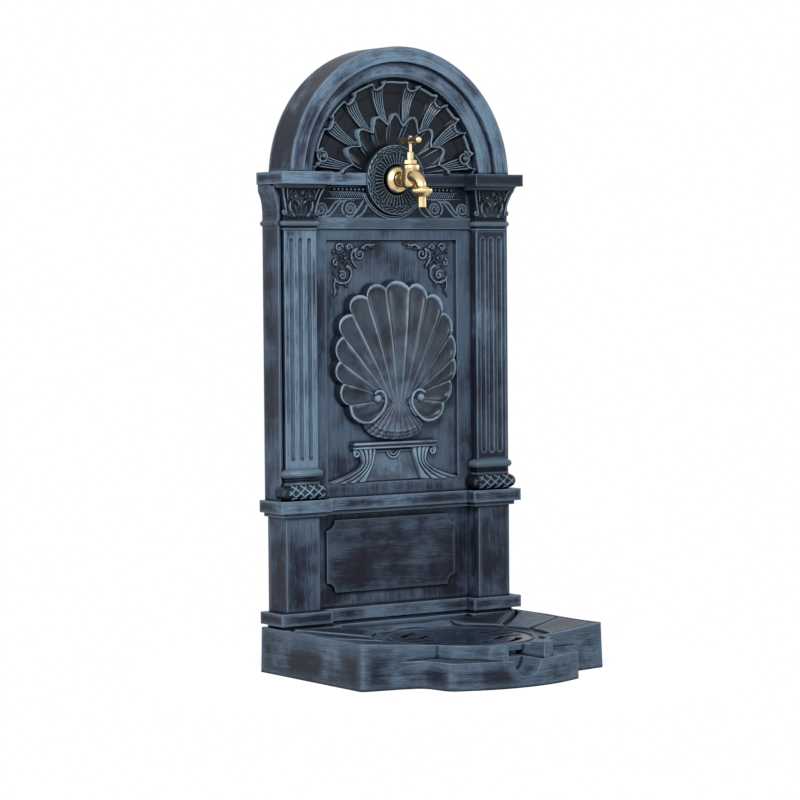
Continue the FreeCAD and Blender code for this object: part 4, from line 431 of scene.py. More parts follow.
def make_round_place():
    """Places measured round a centre on the face: along an arc of 150 mm radius, to the wall and out from the
    centre."""
    group, given, result = node_group("round_place", [("Height", FLOAT, ARCH_Z * MM)], [("Place", VECTOR)])
    place = group.nodes.new("ShaderNodeTexCoord")
    parts = group.nodes.new("ShaderNodeSeparateXYZ")
    group.links.new(place.outputs["Object"], parts.inputs[0])
    up = maths(group, "SUBTRACT", parts.outputs["Z"], given.outputs["Height"])
    angle = maths(group, "ARCTAN2", parts.outputs["X"], up)
    reach = maths(group, "SQRT", weighted(group, up, up, parts.outputs["X"], parts.outputs["X"]))
    whole = group.nodes.new("ShaderNodeCombineXYZ")
    group.links.new(maths(group, "MULTIPLY", angle, 0.15), whole.inputs["X"])
    group.links.new(parts.outputs["Y"], whole.inputs["Y"])
    group.links.new(reach, whole.inputs["Z"])
    group.links.new(whole.outputs[0], result.inputs["Place"])
    return group


def make_brush_strokes():
    """Dry brush strokes along the direction in which Place is squeezed: bristle lines that thicken and close
    where the paint lies denser, in swaths and soft clouds."""
    group, given, result = node_group("brush_strokes", [
        ("Place", VECTOR, (0, 0, 0)), ("Scale", FLOAT, 1.0), ("Cover", FLOAT, 0.5), ("Near", FLOAT, 0.0)],
        [("Paint", FLOAT), ("Cloud", FLOAT)])
    everywhere = group.nodes.new("ShaderNodeTexCoord").outputs["Object"]

    def scaled(fineness):
        return maths(group, "MULTIPLY", given.outputs["Scale"], fineness)

    cloud = noise(group, everywhere, scaled(14.0), 3.0, 0.6)
    bristle = noise(group, given.outputs["Place"], scaled(1300.0), 4.0, 0.8)
    swath = noise(group, given.outputs["Place"], scaled(130.0), 2.0, 0.5)
    speck = noise(group, everywhere, 1100.0, 2.0, 0.7)
    both = weighted(group, cloud, 0.8, swath, 0.2)
    laid = weighted(group, given.outputs["Cover"], 0.4, given.outputs["Near"], 0.32)
    dense = spread(group, maths(group, "ADD", both, laid), 0.55, 1.05)
    threshold = maths(group, "SUBTRACT", 0.63, maths(group, "MULTIPLY", dense, 0.38))
    hairs = weighted(group, bristle, 0.75, speck, 0.25)
    line = spread(group, hairs, threshold, maths(group, "ADD", threshold, 0.28))
    paint = maths(group, "MULTIPLY", line, spread(group, dense, 0.0, 0.8, 0.45, 1.0))
    group.links.new(paint, result.inputs["Paint"])
    group.links.new(cloud, result.inputs["Cloud"])
    return group


def make_moulded_grain():
    """The faint grain of moulded plastic, as a height."""
    group, given, result = node_group("moulded_grain", [("Size", FLOAT, 1.0)], [("Height", FLOAT)])
    everywhere = group.nodes.new("ShaderNodeTexCoord").outputs["Object"]
    fine = noise(group, everywhere, maths(group, "MULTIPLY", given.outputs["Size"], 1400.0), 2.0, 0.5)
    broad = noise(group, everywhere, maths(group, "MULTIPLY", given.outputs["Size"], 90.0), 2.0, 0.5)
    group.links.new(weighted(group, fine, 1.0, broad, 1.5), result.inputs["Height"])
    return group


edge_wear_and_shade = make_edge_wear_and_shade()
crest_paint_and_shade = make_crest_paint_and_shade()
round_place = make_round_place()
brush_strokes = make_brush_strokes()
moulded_grain = make_moulded_grain()


def new_material(name):
    """A material, its node tree and its Principled BSDF."""
    material = bpy.data.materials.new(name)
    material.use_nodes = True
    tree = material.node_tree
    return material, tree, tree.nodes["Principled BSDF"]


def use_group(tree, group, **values):
    """Place a node group with its own values."""
    item = tree.nodes.new("ShaderNodeGroup")
    item.node_tree = group
    for label, value in values.items():
        item.inputs[label].default_value = value
    return item


def use_strokes(tree, stretch, scale, cover, centre=None):
    """Brush strokes along the axes, or round a centre at a height."""
    if centre is None:
        place = tree.nodes.new("ShaderNodeTexCoord").outputs["Object"]
    else:
        place = use_group(tree, round_place, Height=centre * MM).outputs["Place"]
    strokes = use_group(tree, brush_strokes, Scale=scale, Cover=cover)
    tree.links.new(vectors(tree, "MULTIPLY", place, stretch), strokes.inputs["Place"])
    return strokes


def add_grain(tree, shader, size, depth, normal=None):
    """A moulded grain on the shader's normal."""
    grain = use_group(tree, moulded_grain, Size=size)
    relief = tree.nodes.new("ShaderNodeBump")
    relief.inputs["Distance"].default_value = depth
    relief.inputs["Strength"].default_value = 0.5
    tree.links.new(grain.outputs["Height"], relief.inputs["Height"])
    if normal is not None:
        tree.links.new(normal, relief.inputs["Normal"])
    tree.links.new(relief.outputs["Normal"], shader.inputs["Normal"])


def times(colour, share):
    """A colour made darker or lighter by a share."""
    return tuple(channel * share for channel in colour)


ANTHRACITE = (0.013, 0.014, 0.023)
SLATE = (0.011, 0.013, 0.020)
BLACK = (0.006, 0.009, 0.014)
NIGHT_BLUE = (0.032, 0.041, 0.058)
DEEP_BLUE = (0.010, 0.016, 0.030)
STEEL_BLUE = (0.105, 0.160, 0.228)
PALE_BLUE = (0.225, 0.335, 0.430)

# How a brush direction squeezes the places of the strokes: level, upright, slightly slanted

ACROSS = (0.03, 0.03, 1.0)
UPRIGHT = (1.0, 1.0, 0.03)
SLANTED = (0.04, 0.04, 0.8)


def brushed_plastic(name, stretch, cover, base=ANTHRACITE, edge=0.9, scale=1.0, rough=0.42, strength=0.9,
                    radius=0.0016, beside=0.009, reach=0.006, centre=None, sides=0.6, carved=False,
                    facing=TO_FRONT, dark_sides=False, shine=0.12, shade=0.9):
    """Dark moulded plastic, dry-brushed with two blues on its edges, its crests and in strokes, with painted
    shade in its hollows. Cover and strength rule the strokes, and sides their share where a face turns away
    from the front. Edge rules the paint on edges, radius is their width and beside that of the ground next to
    them. Reach is how far off a hollow is looked for, and shade how dark the painted shade in it is. Dark
    sides adds painted shade on faces turned away from the facing direction, and carved adds crest paint and
    painted shade in carved hollows. Centre is the height that the strokes run round."""
    material, tree, shader = new_material(name)
    wear_and_shade = use_group(tree, edge_wear_and_shade, Radius=radius, Beside=beside, Reach=reach, Facing=facing)
    strokes = use_strokes(tree, stretch, scale, cover, centre)
    covered = spread(tree, wear_and_shade.outputs["Front"], 0.0, 1.0, cover * sides, cover)
    tree.links.new(covered, strokes.inputs["Cover"])
    tree.links.new(wear_and_shade.outputs["Near"], strokes.inputs["Near"])
    open_share = spread(tree, wear_and_shade.outputs["Hollow"], 0.0, 0.7, 1.0, 0.1)
    painted = maths(tree, "MULTIPLY", maths(tree, "MULTIPLY", strokes.outputs["Paint"], strength), open_share)
    ground = blend_colour(tree, spread(tree, strokes.outputs["Cloud"], 0.35, 0.7), base, times(base, 1.4))
    tint = blend_colour(tree, spread(tree, painted, 0.45, 1.0, 0.0, 0.5), STEEL_BLUE, PALE_BLUE)
    body = blend_colour(tree, painted, ground, tint)
    broken = spread(tree, strokes.outputs["Paint"], 0.0, 0.7, 0.45, 1.0)
    edges = maths(tree, "MULTIPLY", maths(tree, "MULTIPLY", wear_and_shade.outputs["Edge"], edge), broken)
    coloured = blend_colour(tree, edges, body, PALE_BLUE)
    # Painted shade: the mask of hollows, and with dark sides of faces turned away, that darkens the colour
    shade_mask = wear_and_shade.outputs["Hollow"]
    if dark_sides:
        shade_mask = maths(tree, "MAXIMUM", shade_mask, spread(tree, wear_and_shade.outputs["Front"], 0.0, 1.0, 1.0, 0.0))
    if carved:
        touch = use_group(tree, crest_paint_and_shade)
        crests = maths(tree, "MULTIPLY", maths(tree, "MULTIPLY", touch.outputs["Paint"], edge), broken)
        coloured = blend_colour(tree, crests, coloured, PALE_BLUE)
        shade_mask = maths(tree, "MAXIMUM", shade_mask, touch.outputs["Deep"])
    # Painted shade: the base colour at a fifth of its strength, laid over the hollows by the shade share
    shaded = blend_colour(tree, maths(tree, "MULTIPLY", shade_mask, shade), coloured, times(base, 0.2))
    tree.links.new(shaded, shader.inputs["Base Color"])
    tree.links.new(spread(tree, painted, 0.0, 1.0, rough, rough + 0.16), shader.inputs["Roughness"])
    shader.inputs["Specular IOR Level"].default_value = shine
    add_grain(tree, shader, 1.0, 0.00008, wear_and_shade.outputs["Normal"])
    return material


wall_plastic = brushed_plastic("wall_plastic", UPRIGHT, 1.05, sides=0.8, strength=0.6)
side_plastic = brushed_plastic("side_plastic", UPRIGHT, 0.9, sides=0.9, strength=0.65)
# Painted light and shade: the left pilaster's shaft gets heavy paint as the lit side, the right one a thin
# copy as painted shade
lit_left_shaft_plastic = brushed_plastic("lit_left_shaft_plastic", UPRIGHT, 1.1, beside=0.006)
shaded_right_shaft_plastic = brushed_plastic("shaded_right_shaft_plastic", UPRIGHT, 0.55, beside=0.006)
moulding_plastic = brushed_plastic("moulding_plastic", ACROSS, 0.9, strength=0.85)
# Painted light and shade: the left cornice gets heavy paint as the lit side, the right one a thin copy as
# painted shade
lit_left_cornice_plastic = brushed_plastic("lit_left_cornice_plastic", ACROSS, 1.15)
shaded_right_cornice_plastic = brushed_plastic("shaded_right_cornice_plastic", ACROSS, 0.3, strength=0.5)
arch_plastic = brushed_plastic("arch_plastic", ACROSS, 0.98, centre=ARCH_Z, sides=0.58)
tablet_plastic = brushed_plastic("tablet_plastic", SLANTED, 0.8, strength=0.5)
basin_plastic = brushed_plastic("basin_plastic", ACROSS, 0.9, base=SLATE, beside=0.018, sides=0.7,
                                strength=0.75)
carved_plastic = brushed_plastic("carved_plastic", ACROSS, 0.6, base=BLACK, rough=0.26, strength=0.3,
                                 radius=0.0007, beside=0.002, reach=0.004, carved=True)
fan_plastic = brushed_plastic("fan_plastic", UPRIGHT, 0.5, base=BLACK, edge=1.0, rough=0.22, strength=0.15,
                              radius=0.0007, beside=0.002, reach=0.005, centre=ARCH_Z, carved=True,
                              shine=0.18)
shell_plastic = brushed_plastic("shell_plastic", UPRIGHT, 1.0, base=NIGHT_BLUE, edge=0.78, scale=2.2,
                                rough=0.28, strength=0.75, radius=0.0005, beside=0.001, reach=0.003,
                                centre=HINGE_Z, sides=0.2, carved=True, shine=0.26, shade=0.72)
# The grate: painted shade on the slot walls turned away from upward, and deeper painted shade in its slots
grate_plastic = brushed_plastic("grate_plastic", ACROSS, 0.6, base=DEEP_BLUE, edge=0.7, rough=0.26,
                                strength=0.45, beside=0.003, reach=0.012, sides=0.0, facing=UPWARD,
                                dark_sides=True)


BRASS_DEEP = (0.60, 0.44, 0.22)
BRASS_LIGHT = (0.78, 0.61, 0.36)
BRASS_PAINTED_SHADE = (0.20, 0.12, 0.045)
STEEL_DEEP = (0.42, 0.42, 0.43)
STEEL_LIGHT = (0.62, 0.62, 0.64)
COVER_BLACK = (0.022, 0.022, 0.025)
RUBBER_BLACK = (0.012, 0.012, 0.012)


def make_brass():
    """Polished brass with faint lines and clouded spots, with painted shade in its hollows."""
    material, tree, shader = new_material("polished_brass")
    strokes = use_strokes(tree, (1, 1, 0.15), 1.6, 0.5)
    wear_and_shade = use_group(tree, edge_wear_and_shade, Radius=0.0008, Reach=0.003)
    clouds = spread(tree, strokes.outputs["Cloud"], 0.3, 0.7)
    clouded = blend_colour(tree, clouds, BRASS_DEEP, BRASS_LIGHT)
    # Painted shade: the brass darkens toward a deep brown in its hollows
    hollow = maths(tree, "MULTIPLY", wear_and_shade.outputs["Hollow"], 0.8)
    shaded = blend_colour(tree, hollow, clouded, BRASS_PAINTED_SHADE)
    tree.links.new(shaded, shader.inputs["Base Color"])
    shader.inputs["Metallic"].default_value = 1.0
    tree.links.new(spread(tree, strokes.outputs["Paint"], 0, 1, 0.3, 0.42), shader.inputs["Roughness"])
    tree.links.new(wear_and_shade.outputs["Normal"], shader.inputs["Normal"])
    return material


def make_steel():
    """Zinc-plated steel of the fasteners."""
    material, tree, shader = new_material("plated_steel")
    strokes = use_strokes(tree, (1, 0.1, 1), 2.0, 0.5)
    colour = blend_colour(tree, strokes.outputs["Cloud"], STEEL_DEEP, STEEL_LIGHT)
    tree.links.new(colour, shader.inputs["Base Color"])
    shader.inputs["Metallic"].default_value = 1.0
    tree.links.new(spread(tree, strokes.outputs["Paint"], 0, 1, 0.28, 0.45), shader.inputs["Roughness"])
    return material


def make_dull(name, base, rough):
    """Plain dark plastic or rubber with a moulded grain."""
    material, tree, shader = new_material(name)
    strokes = use_strokes(tree, (1, 1, 1), 1.2, 0.3)
    colour = blend_colour(tree, strokes.outputs["Cloud"], base, times(base, 1.7))
    tree.links.new(colour, shader.inputs["Base Color"])
    uneven = spread(tree, strokes.outputs["Paint"], 0, 1, rough, rough + 0.12)
    tree.links.new(uneven, shader.inputs["Roughness"])
    add_grain(tree, shader, 0.8, 0.0001)
    return material


brass = make_brass()
steel = make_steel()
cover_finish = make_dull("cover_finish", COVER_BLACK, 0.55)
rubber = make_dull("rubber", RUBBER_BLACK, 0.6)

FINISHES = {
    wall_plastic: ["panel_shell", "tympanum_plate"],
    side_plastic: ["pedestal_shell"],
    lit_left_shaft_plastic: ["pilaster_left"],
    shaded_right_shaft_plastic: ["pilaster_right"],
    moulding_plastic: ["plinth_moulding", "middle_moulding", "frieze"],
    lit_left_cornice_plastic: ["cornice_left"],
    shaded_right_cornice_plastic: ["cornice_right"],
    arch_plastic: ["arch_hood", "arch_inner_band"],
    tablet_plastic: ["tablet"],
    basin_plastic: ["basin"],
    grate_plastic: ["drain_grate"],
    cover_finish: ["rear_cover"],
    steel: ["cover_screws", "base_screws", "backing_plate", "handle_screw"],
    brass: ["tap_flange", "tap_body", "bonnet", "gland_nut", "spindle", "handle", "valve_jumper", "union_nut",
            "hose_tail", "lock_nut", "inlet_elbow", "inlet_tail"],
    rubber: ["bonnet_gasket", "gland_packing", "valve_seal", "hose_washer"],
    carved_plastic: ["pilaster_base_left", "pilaster_base_right", "capital_left", "capital_right", "rosette",
                     "corner_spray_left", "corner_spray_right", "shell_stand"],
    fan_plastic: ["fan_outer", "fan_inner"],
    shell_plastic: ["shell_relief"],
}
for material, names in FINISHES.items():
    for name in names:
        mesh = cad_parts[name].data
        mesh.materials.clear()
        mesh.materials.append(material)


# The fan under the arch


def on_arch(radius, degrees, depth):
    """Points on the arch's face from a radius, an angle to the upright and a height before the wall."""
    angle = np.radians(degrees)
    height = np.maximum(ARCH_Z + radius * np.cos(angle), CORNICE_TOP)
    return grid_of(radius * np.sin(angle), WALL_Y - depth, height)


# Radii and heights of the outer fan, and the angles of its notches and its end to the upright, in degrees

FAN_RIM = 130.5
NOTCHES = (-79.0, -56.0, -35.0, -12.6, 12.6, 35.0, 56.0, 79.0)
NOTCH_HALF = 4.3
NOTCH_DEPTH = 8.0
FAN_END = 87.5
FAN_FOOT = 78.0
COVE_R = 106.0
COVE_OUT = 24.0
COVE_IN = 28.0
CURL_X = 115.0
CURL_Z = 683.0


def fan_outer_form():
    """Broad hollow lobes with bands of fine ridges between them, and a lipped, notched rim."""
    form = Form()
    angle = np.arange(-FAN_END, FAN_END + 0.01, 0.3)
    nearest = distance_to_nearest(angle, NOTCHES)
    rim = FAN_RIM - NOTCH_DEPTH * bump(nearest, NOTCH_HALF) + 1.2 * bell(np.abs(nearest) - 5.2, 0.9)
    share = np.linspace(0, 1, 44)
    radius = FAN_FOOT + (rim[:, None] - FAN_FOOT) * share[None, :]
    outward = radius > COVE_R
    climb = (radius - COVE_R) / np.where(outward, COVE_OUT, COVE_IN)
    cove = 1.5 + np.where(outward, 8.5, 5.0) * climb ** 2
    band = 3.3 + 1.6 * share[None, :]
    inside = np.abs(nearest)[:, None] / band
    ridges = np.abs(np.cos(np.clip(inside, 0, 1) * math.pi * 2.5)) ** 1.2
    pier = np.where(inside < 1, 1.0 + 1.7 * ridges, 0.0)
    lobe = np.where(inside >= 1, np.clip((inside - 1) / 0.35, 0, 1), 0.0)
    hollow = -2.4 * lobe + 1.2 * np.clip(1 - (inside - 1) / 0.3, 0, 1) * (inside >= 1)
    lip = 2.2 * bell(rim[:, None] - radius - 1.2, 1.3)
    depth = np.clip(cove + pier + hollow + lip, 0.3, None)
    front = on_arch(radius, angle[:, None], depth)
    edge = on_arch(rim[:, None], angle[:, None], 0.0)
    form.sheet(np.concatenate([front, edge], axis=1))
    for side in (-1, 1):
        line = spiral((side * CURL_X, CURL_Z), 9.5, 5.5, 90, -side * 1.1)
        form.tube(lay(line, WALL_Y - 6.5), taper(line, 2.6, 1.5))
        form.ball((side * CURL_X, WALL_Y - 7.5, CURL_Z), 4.8)
    return form


PETALS = (-86.5, -65.5, -44.0, -21.8, -0.8, 20.5, 42.0, 64.0, 85.5)
PETAL_TIP = 88.0
PETAL_DIP = 73.0
HUB_R = 45.0


def fan_inner_form():
    """Curled petals with wavy lipped rims over the outer fan, ribbed down toward the rosette."""
    form = Form()
    angle = np.arange(-90.0, 90.01, 0.4)
    nearest = distance_to_nearest(angle, PETALS)
    lean = np.where(angle < 0, -1.0, 1.0)
    crest = 0.5 + 0.5 * np.cos(np.clip((nearest + lean) / 10.8, -1, 1) * math.pi)
    rim = PETAL_DIP + (PETAL_TIP - PETAL_DIP) * crest ** 0.75
    share = np.linspace(0, 1, 34)
    radius = HUB_R + (rim[:, None] - HUB_R) * share[None, :]
    slope = 1.0 + 10.5 * share[None, :] ** 1.7 + 1.5 * crest[:, None] * share[None, :]
    rib_dip = bell(np.abs(nearest)[:, None] - 10.4, 1.1)
    rib_side = bell(nearest[:, None] + 4.6, 0.9)
    ribs = (1.6 * rib_dip + 1.2 * rib_side) * np.clip(share[None, :] * 1.6, 0, 1)
    hollow = -1.2 * bump(nearest[:, None], 9.0) * share[None, :]
    lip = 2.2 * bell(rim[:, None] - radius - 1.0, 1.2)
    depth = np.clip(slope + ribs + hollow + lip, 0.3, None)
    front = on_arch(radius, angle[:, None], depth)
    edge = on_arch(rim[:, None], angle[:, None], 2.0)
    form.sheet(np.concatenate([front, edge], axis=1))
    return form


make_piece("fan_outer_carving", fan_outer_form(), fan_plastic, replaces=["fan_outer"])
make_piece("fan_inner_carving", fan_inner_form(), fan_plastic, replaces=["fan_inner"])


# The rosette round the tap

ROSETTE_R = 46.7
ROSETTE_Y = 121.0
SPOKES = 40


def rosette_form():
    """A disc with a round rim, a band of rough leaves and a ring of fine spokes round the tap's hole."""
    form = Form()
    turn = round_turn(960)
    radius = np.concatenate([[9.0, 20.5], np.linspace(20.8, 46.0, 52), [46.5, ROSETTE_R]])
    angle, reach = np.meshgrid(turn, radius, indexing="ij")
    depth = np.full(angle.shape, -2.5)
    spokes = np.abs(np.cos(angle * SPOKES / 2)) ** 5
    long_spoke = np.where(np.cos(angle * SPOKES / 4) > 0, 37.0, 34.0)
    depth += 2.0 * spokes * (reach > 21.5) * (reach < long_spoke)
    leaf = np.clip(1 - ((reach - 40.6) / 5.6) ** 4, 0, 1)
    waves = 0.5 + 0.5 * np.sin(angle * 31 + 2.5 * np.sin(reach * 1.3))
    rough = waves * (0.6 + 0.4 * np.sin(reach * 2.6 + 3 * np.sin(angle * 17)))
    depth += leaf * (0.4 + 2.6 * rough)
    depth = np.where(reach < 20.6, -4.5, depth)
    front = grid_of(reach * np.sin(angle), ROSETTE_Y - depth, TAP_Z + reach * np.cos(angle))
    side = front[:, -1:, :].copy()
    side[..., 1] = WALL_Y
    form.sheet(np.concatenate([front, side], axis=1), round_u=True)
    form.last_crests(len(turn))[:, -2:] = 0.2
    return form


make_piece("rosette_carving", rosette_form(), carved_plastic, replaces=["rosette"])


# The scallop shell, its foot and its stand

# The right half of the shell's rim, from the top down and measured from the hinge: each valley between two
# lobes, and the tip of the lobe that follows it

SHELL_TOP = (0.0, 162.0)
SHELL_RIM = (
    (19, 152, 33, 158), (49, 140, 63, 143), (73, 118, 85, 115), (88, 89, 98, 74), (93, 56, 98.5, 40),
    (87, 26, 91, 12), (76, -4, 66, -25))
SHELL_END = (36, -20)
SHELL_PROUD = 14.0
LOBE_STEPS = 17


def arc_through(first, middle, last, steps):
    """Points on the circle through three points, from the first to the last, clockwise."""
    corners = np.array([first, middle, last], float)
    following = np.roll(corners, -1, axis=0)
    previous = np.roll(corners, 1, axis=0)
    squares = np.sum(corners ** 2, axis=1)
    rise = following[:, 1] - previous[:, 1]
    run = previous[:, 0] - following[:, 0]
    centre = np.array([np.sum(squares * rise), np.sum(squares * run)]) / (2 * np.sum(corners[:, 0] * rise))
    angles = [math.atan2(z, x) for x, z in corners - centre]
    while angles[1] > angles[0]:
        angles[1] -= 2 * math.pi
    while angles[2] > angles[1]:
        angles[2] -= 2 * math.pi
    turn = np.linspace(angles[0], angles[2], steps)
    return centre + math.dist(first, centre) * np.stack([np.cos(turn), np.sin(turn)], axis=-1)


def shell_form():
    """Fifteen hollow lobes with sharp crests between them and a lipped, lobed rim."""
    form = Form()
    valleys = [(x, z) for x, z, _, _ in SHELL_RIM] + [SHELL_END]
    tips = [(x, z) for _, _, x, z in SHELL_RIM]
    right = [(valleys[k], tips[k], valleys[k + 1]) for k in range(len(tips))]
    left = [tuple((-x, z) for x, z in reversed(lobe)) for lobe in reversed(right)]
    lobes = left + [(left[-1][2], SHELL_TOP, right[0][0])] + right
    rim = np.concatenate([arc_through(*lobe, LOBE_STEPS) for lobe in lobes])
    u = np.tile(np.linspace(-1, 1, LOBE_STEPS), len(lobes))
    foot = np.stack([np.clip(rim[:, 0] * 0.14, -12, 12), np.where(rim[:, 1] < 30, 3.0, -1.0)], axis=-1)
    t = np.linspace(0, 1, 46) ** 0.9
    plan = foot[:, None, :] + (rim - foot)[:, None, :] * t[None, :, None]
    x, z = plan[..., 0], plan[..., 1]
    dome = 7.5 * np.clip(1 - ((x / 105) ** 2 + ((z - 68) / 108) ** 2), 0, 1)
    length = np.linalg.norm(rim - foot, axis=1)[:, None]
    scoop = -6.6 * (1 - np.abs(u[:, None]) ** 1.9) * np.clip(t[None, :] * 1.15, 0, 1) ** 0.8
    from_rim = (1 - t[None, :]) * length
    lip = 1.6 * bell(from_rim - 1.4, 1.4)
    fill = 5.2 * bell(from_rim - 1.5, 4.5) * (1 - np.abs(u[:, None]) ** 2)
    front = grid_of(x, FIELD_Y - SHELL_PROUD - dome - scoop - lip - fill, HINGE_Z + z)
    edge = front[:, -1:, :].copy()
    edge[..., 1] += 1.5
    edge[..., 0] *= 1.004
    wall = edge.copy()
    wall[..., 1] = FIELD_Y
    form.sheet(np.concatenate([front, edge, wall], axis=1), relief=0.35)
    crests = form.last_crests(len(rim))
    # Near the hinge the crests sink below zero for painted shade, all but thin light lines at the lobes'
    # edges
    open_share = ramp(t, 0.35, 0.6)
    ridges = np.clip((np.abs(u) - 0.8) / 0.2, 0, 1)[:, None]
    crests[:, :-2] = crests[:, :-2] * open_share + (1.2 * ridges - 0.4) * (1 - open_share)
    # The side wall gets the lowest crest value: painted shade
    crests[:, -2:] = -1.0
    return form


SHELL_CURL = (
    (76, 351), (72, 337), (60, 329), (46, 328), (35, 334), (26, 343), (21.5, 353), (22.5, 362), (28, 368.5),
    (35, 369.5), (41, 366))


def shell_foot_form():
    """The reeded foot in three layers, with its two curls and balls."""
    form = Form()
    s = np.linspace(-1, 1, 177)[:, None]
    t = np.linspace(0, 1, 40)[None, :]
    turn = s * math.pi / 2
    reeds = np.abs(np.cos(s * math.pi * 5.5))
    top_x, top_z = 13.5 * s, HINGE_Z + 1.0
    hem_x, hem_z = 48.0 * np.sin(turn), 329.0 - 26.5 * np.cos(turn) ** 0.6 + 1.2 * reeds
    x = top_x + (hem_x - top_x) * t ** 1.35
    z = top_z + (hem_z - top_z) * t
    depth = 18.0 - 4.0 * t + 2.4 * reeds ** 0.7 * (0.35 + 0.65 * t) - 5.0 * s ** 2 * t - 2.0 * s ** 2
    for level in (0.8, 0.9):
        depth -= 2.2 * ramp(t - 0.03 * reeds, level - 0.012, level + 0.012)
        depth += 0.4 * bell(t - 0.03 * reeds - level + 0.025, 0.02)
    front = grid_of(x, FIELD_Y - depth, z)
    hem = front[:, -1:, :].copy()
    hem[..., 1] = FIELD_Y
    hem[..., 2] += 3.0
    form.sheet(np.concatenate([front, hem], axis=1), flip=True, relief=0.7)
    form.last_crests(len(s))[:, :-1] *= 1.0 - 0.6 * ramp(t, 0.7, 0.85)
    line = smooth_line(SHELL_CURL)
    for side in (-1, 1):
        path = lay(line * np.array([side, 1.0]), FIELD_Y - 13.5)
        path[:, 1] -= np.linspace(0, 6.5, len(path))
        form.tube(path, taper(path, 2.3, 2.0), sides=10)
        inside = line[34:] + np.array([-2.6, -1.5])
        inner = lay(inside * np.array([side, 1.0]), FIELD_Y - 15.0)
        inner[:, 1] -= np.linspace(0, 3.0, len(inner))
        form.tube(inner, taper(inner, 1.6, 0.9))
        form.ball((side * 35.0, FIELD_Y - 16.5, 359.5), 6.4, rings=12, sides=18)
        stalk = [(side * 35.0, FIELD_Y - 16.0, 359.0), (side * 36.0, FIELD_Y - 9.0, 352.0)]
        form.tube(stalk, [4.6, 3.0], sides=12)
    return form


def stand_form():
    """A stepped slab on two reeded curved legs, with scrolls and a half-round drop between them."""
    form = Form()
    for half, low, high, proud in (
            (69.0, 296.5, 300.5, 10.0), (67.5, 294.2, 296.6, 8.5), (69.0, 291.8, 294.3, 9.5)):
        form.slab(half, low, high, FIELD_Y, proud)
    for half, level, proud, thick in ((69.0, 298.6, 9.8, 2.0), (68.0, 293.0, 9.2, 1.5)):
        form.tube(lay([(-half, level), (0, level), (half, level)], FIELD_Y - proud), thick)
    apron = [(-44.0, 248.5), (-30.0, 288.0), (30.0, 288.0), (44.0, 248.5)]
    form.prism(apron, FIELD_Y - 0.6, FIELD_Y, crest=0.5)
    s = np.linspace(0, 1, 49)[:, None]
    t = np.linspace(0, 1, 30)[None, :]
    for side in (-1, 1):
        inner = 29.0 + 15.5 * t ** 1.3
        waist = 20.8 * np.sin(t * math.pi * 0.5) * (1 - t)
        outer = 60.0 - waist + 47.0 * np.clip((t - 0.35) / 0.65, 0, 1) ** 2.1
        x = inner + (outer - inner) * s
        z = 291.5 - 43.0 * t - 1.5 * np.sin(s * math.pi) * t
        reeds = np.abs(np.sin(s * math.pi * 4)) ** 0.6
        flare = np.clip((outer - inner) / 30.0, 1, 2.2)
        depth = 4.0 + 3.4 * reeds / flare ** 0.4 + 2.0 * np.sin(s * math.pi) * (1 - 0.5 * t)
        grid = grid_of(side * x, FIELD_Y - depth, z)
        shoulders = [grid[:1].copy(), grid[-1:].copy()]
        for shoulder in shoulders:
            shoulder[..., 1] = FIELD_Y
        form.sheet(np.concatenate([shoulders[0], grid, shoulders[1]], axis=0), flip=side > 0)
        line = spiral((side * 62.0, 286.0), 5.6, 1.5, 90, -side * 1.4)
        form.tube(lay(line, FIELD_Y - 7.0), taper(line, 1.9, 1.2))
        sill = [(side * 60.0, 247.5), (side * 86.0, 246.8), (side * 109.0, 246.8)]
        form.tube(lay(sill, FIELD_Y - 2.0), [2.0, 2.2, 2.0], sides=10)
    for reach, thick in ((10.0, 1.4), (6.0, 1.1)):
        line = spiral((0.0, 288.5), reach, reach, 180, 0.5, steps=24)
        form.tube(lay(line, FIELD_Y - 3.0), thick)
    for start, end in ((-32, -10), (10, 32)):
        form.tube(lay([(start, 287.8), (end, 287.8)], FIELD_Y - 3.0), 1.3)
    return form


make_piece("scallop_shell", shell_form().take(shell_foot_form()), shell_plastic, replaces=["shell_relief"])
make_piece("shell_stand_carving", stand_form(), shell_plastic, replaces=["shell_stand"])


# Corner sprays of the sunken field


def petal(form, root, tip, half, y, rise, tip_y=None):
    """A leaf from root to tip, hollow along its middle; its ground runs from y to tip_y."""
    root, tip = np.array(root, float), np.array(tip, float)
    along = tip - root
    across = np.array([-along[1], along[0]]) / (np.linalg.norm(along) + TINY)
    t = np.linspace(0, 1, 11)[:, None]
    s = np.linspace(-1, 1, 9)[None, :]
    aside = np.abs(s)
    width = half * np.sin(np.clip(t * 1.08 + 0.02, 0, 1) * math.pi) ** 0.7
    x, z = (root[k] + along[k] * t + across[k] * s * width for k in range(2))
    depth = rise * (0.35 + 0.65 * np.sin(t * math.pi)) * (1 - 0.35 * (1 - aside))
    depth = np.where(aside > 0.99, 0.0, depth)
    ground = y + ((y if tip_y is None else tip_y) - y) * t
    painted = 0.8 * aside ** 2 * (aside < 0.99) + 0.5 * (aside < 0.1)
    form.sheet(grid_of(x, ground - depth, z), flip=True, relief=0.25, painted=painted * np.ones_like(t))


def flower(form, centre, reach, y, petals=6):
    """A small open flower with a round middle."""
    for k in range(petals):
        angle = math.radians(90 + 360 * k / petals)
        tip = (centre[0] + reach * math.cos(angle), centre[1] + reach * math.sin(angle))
        petal(form, centre, tip, reach * 0.45, y, reach * 0.4)
    form.ball((centre[0], y - reach * 0.25, centre[1]), reach * 0.32)


# The right spray: its stems with their thickness at start and end, its buds with their radii and its leaves,
# each from root to tip with half its width

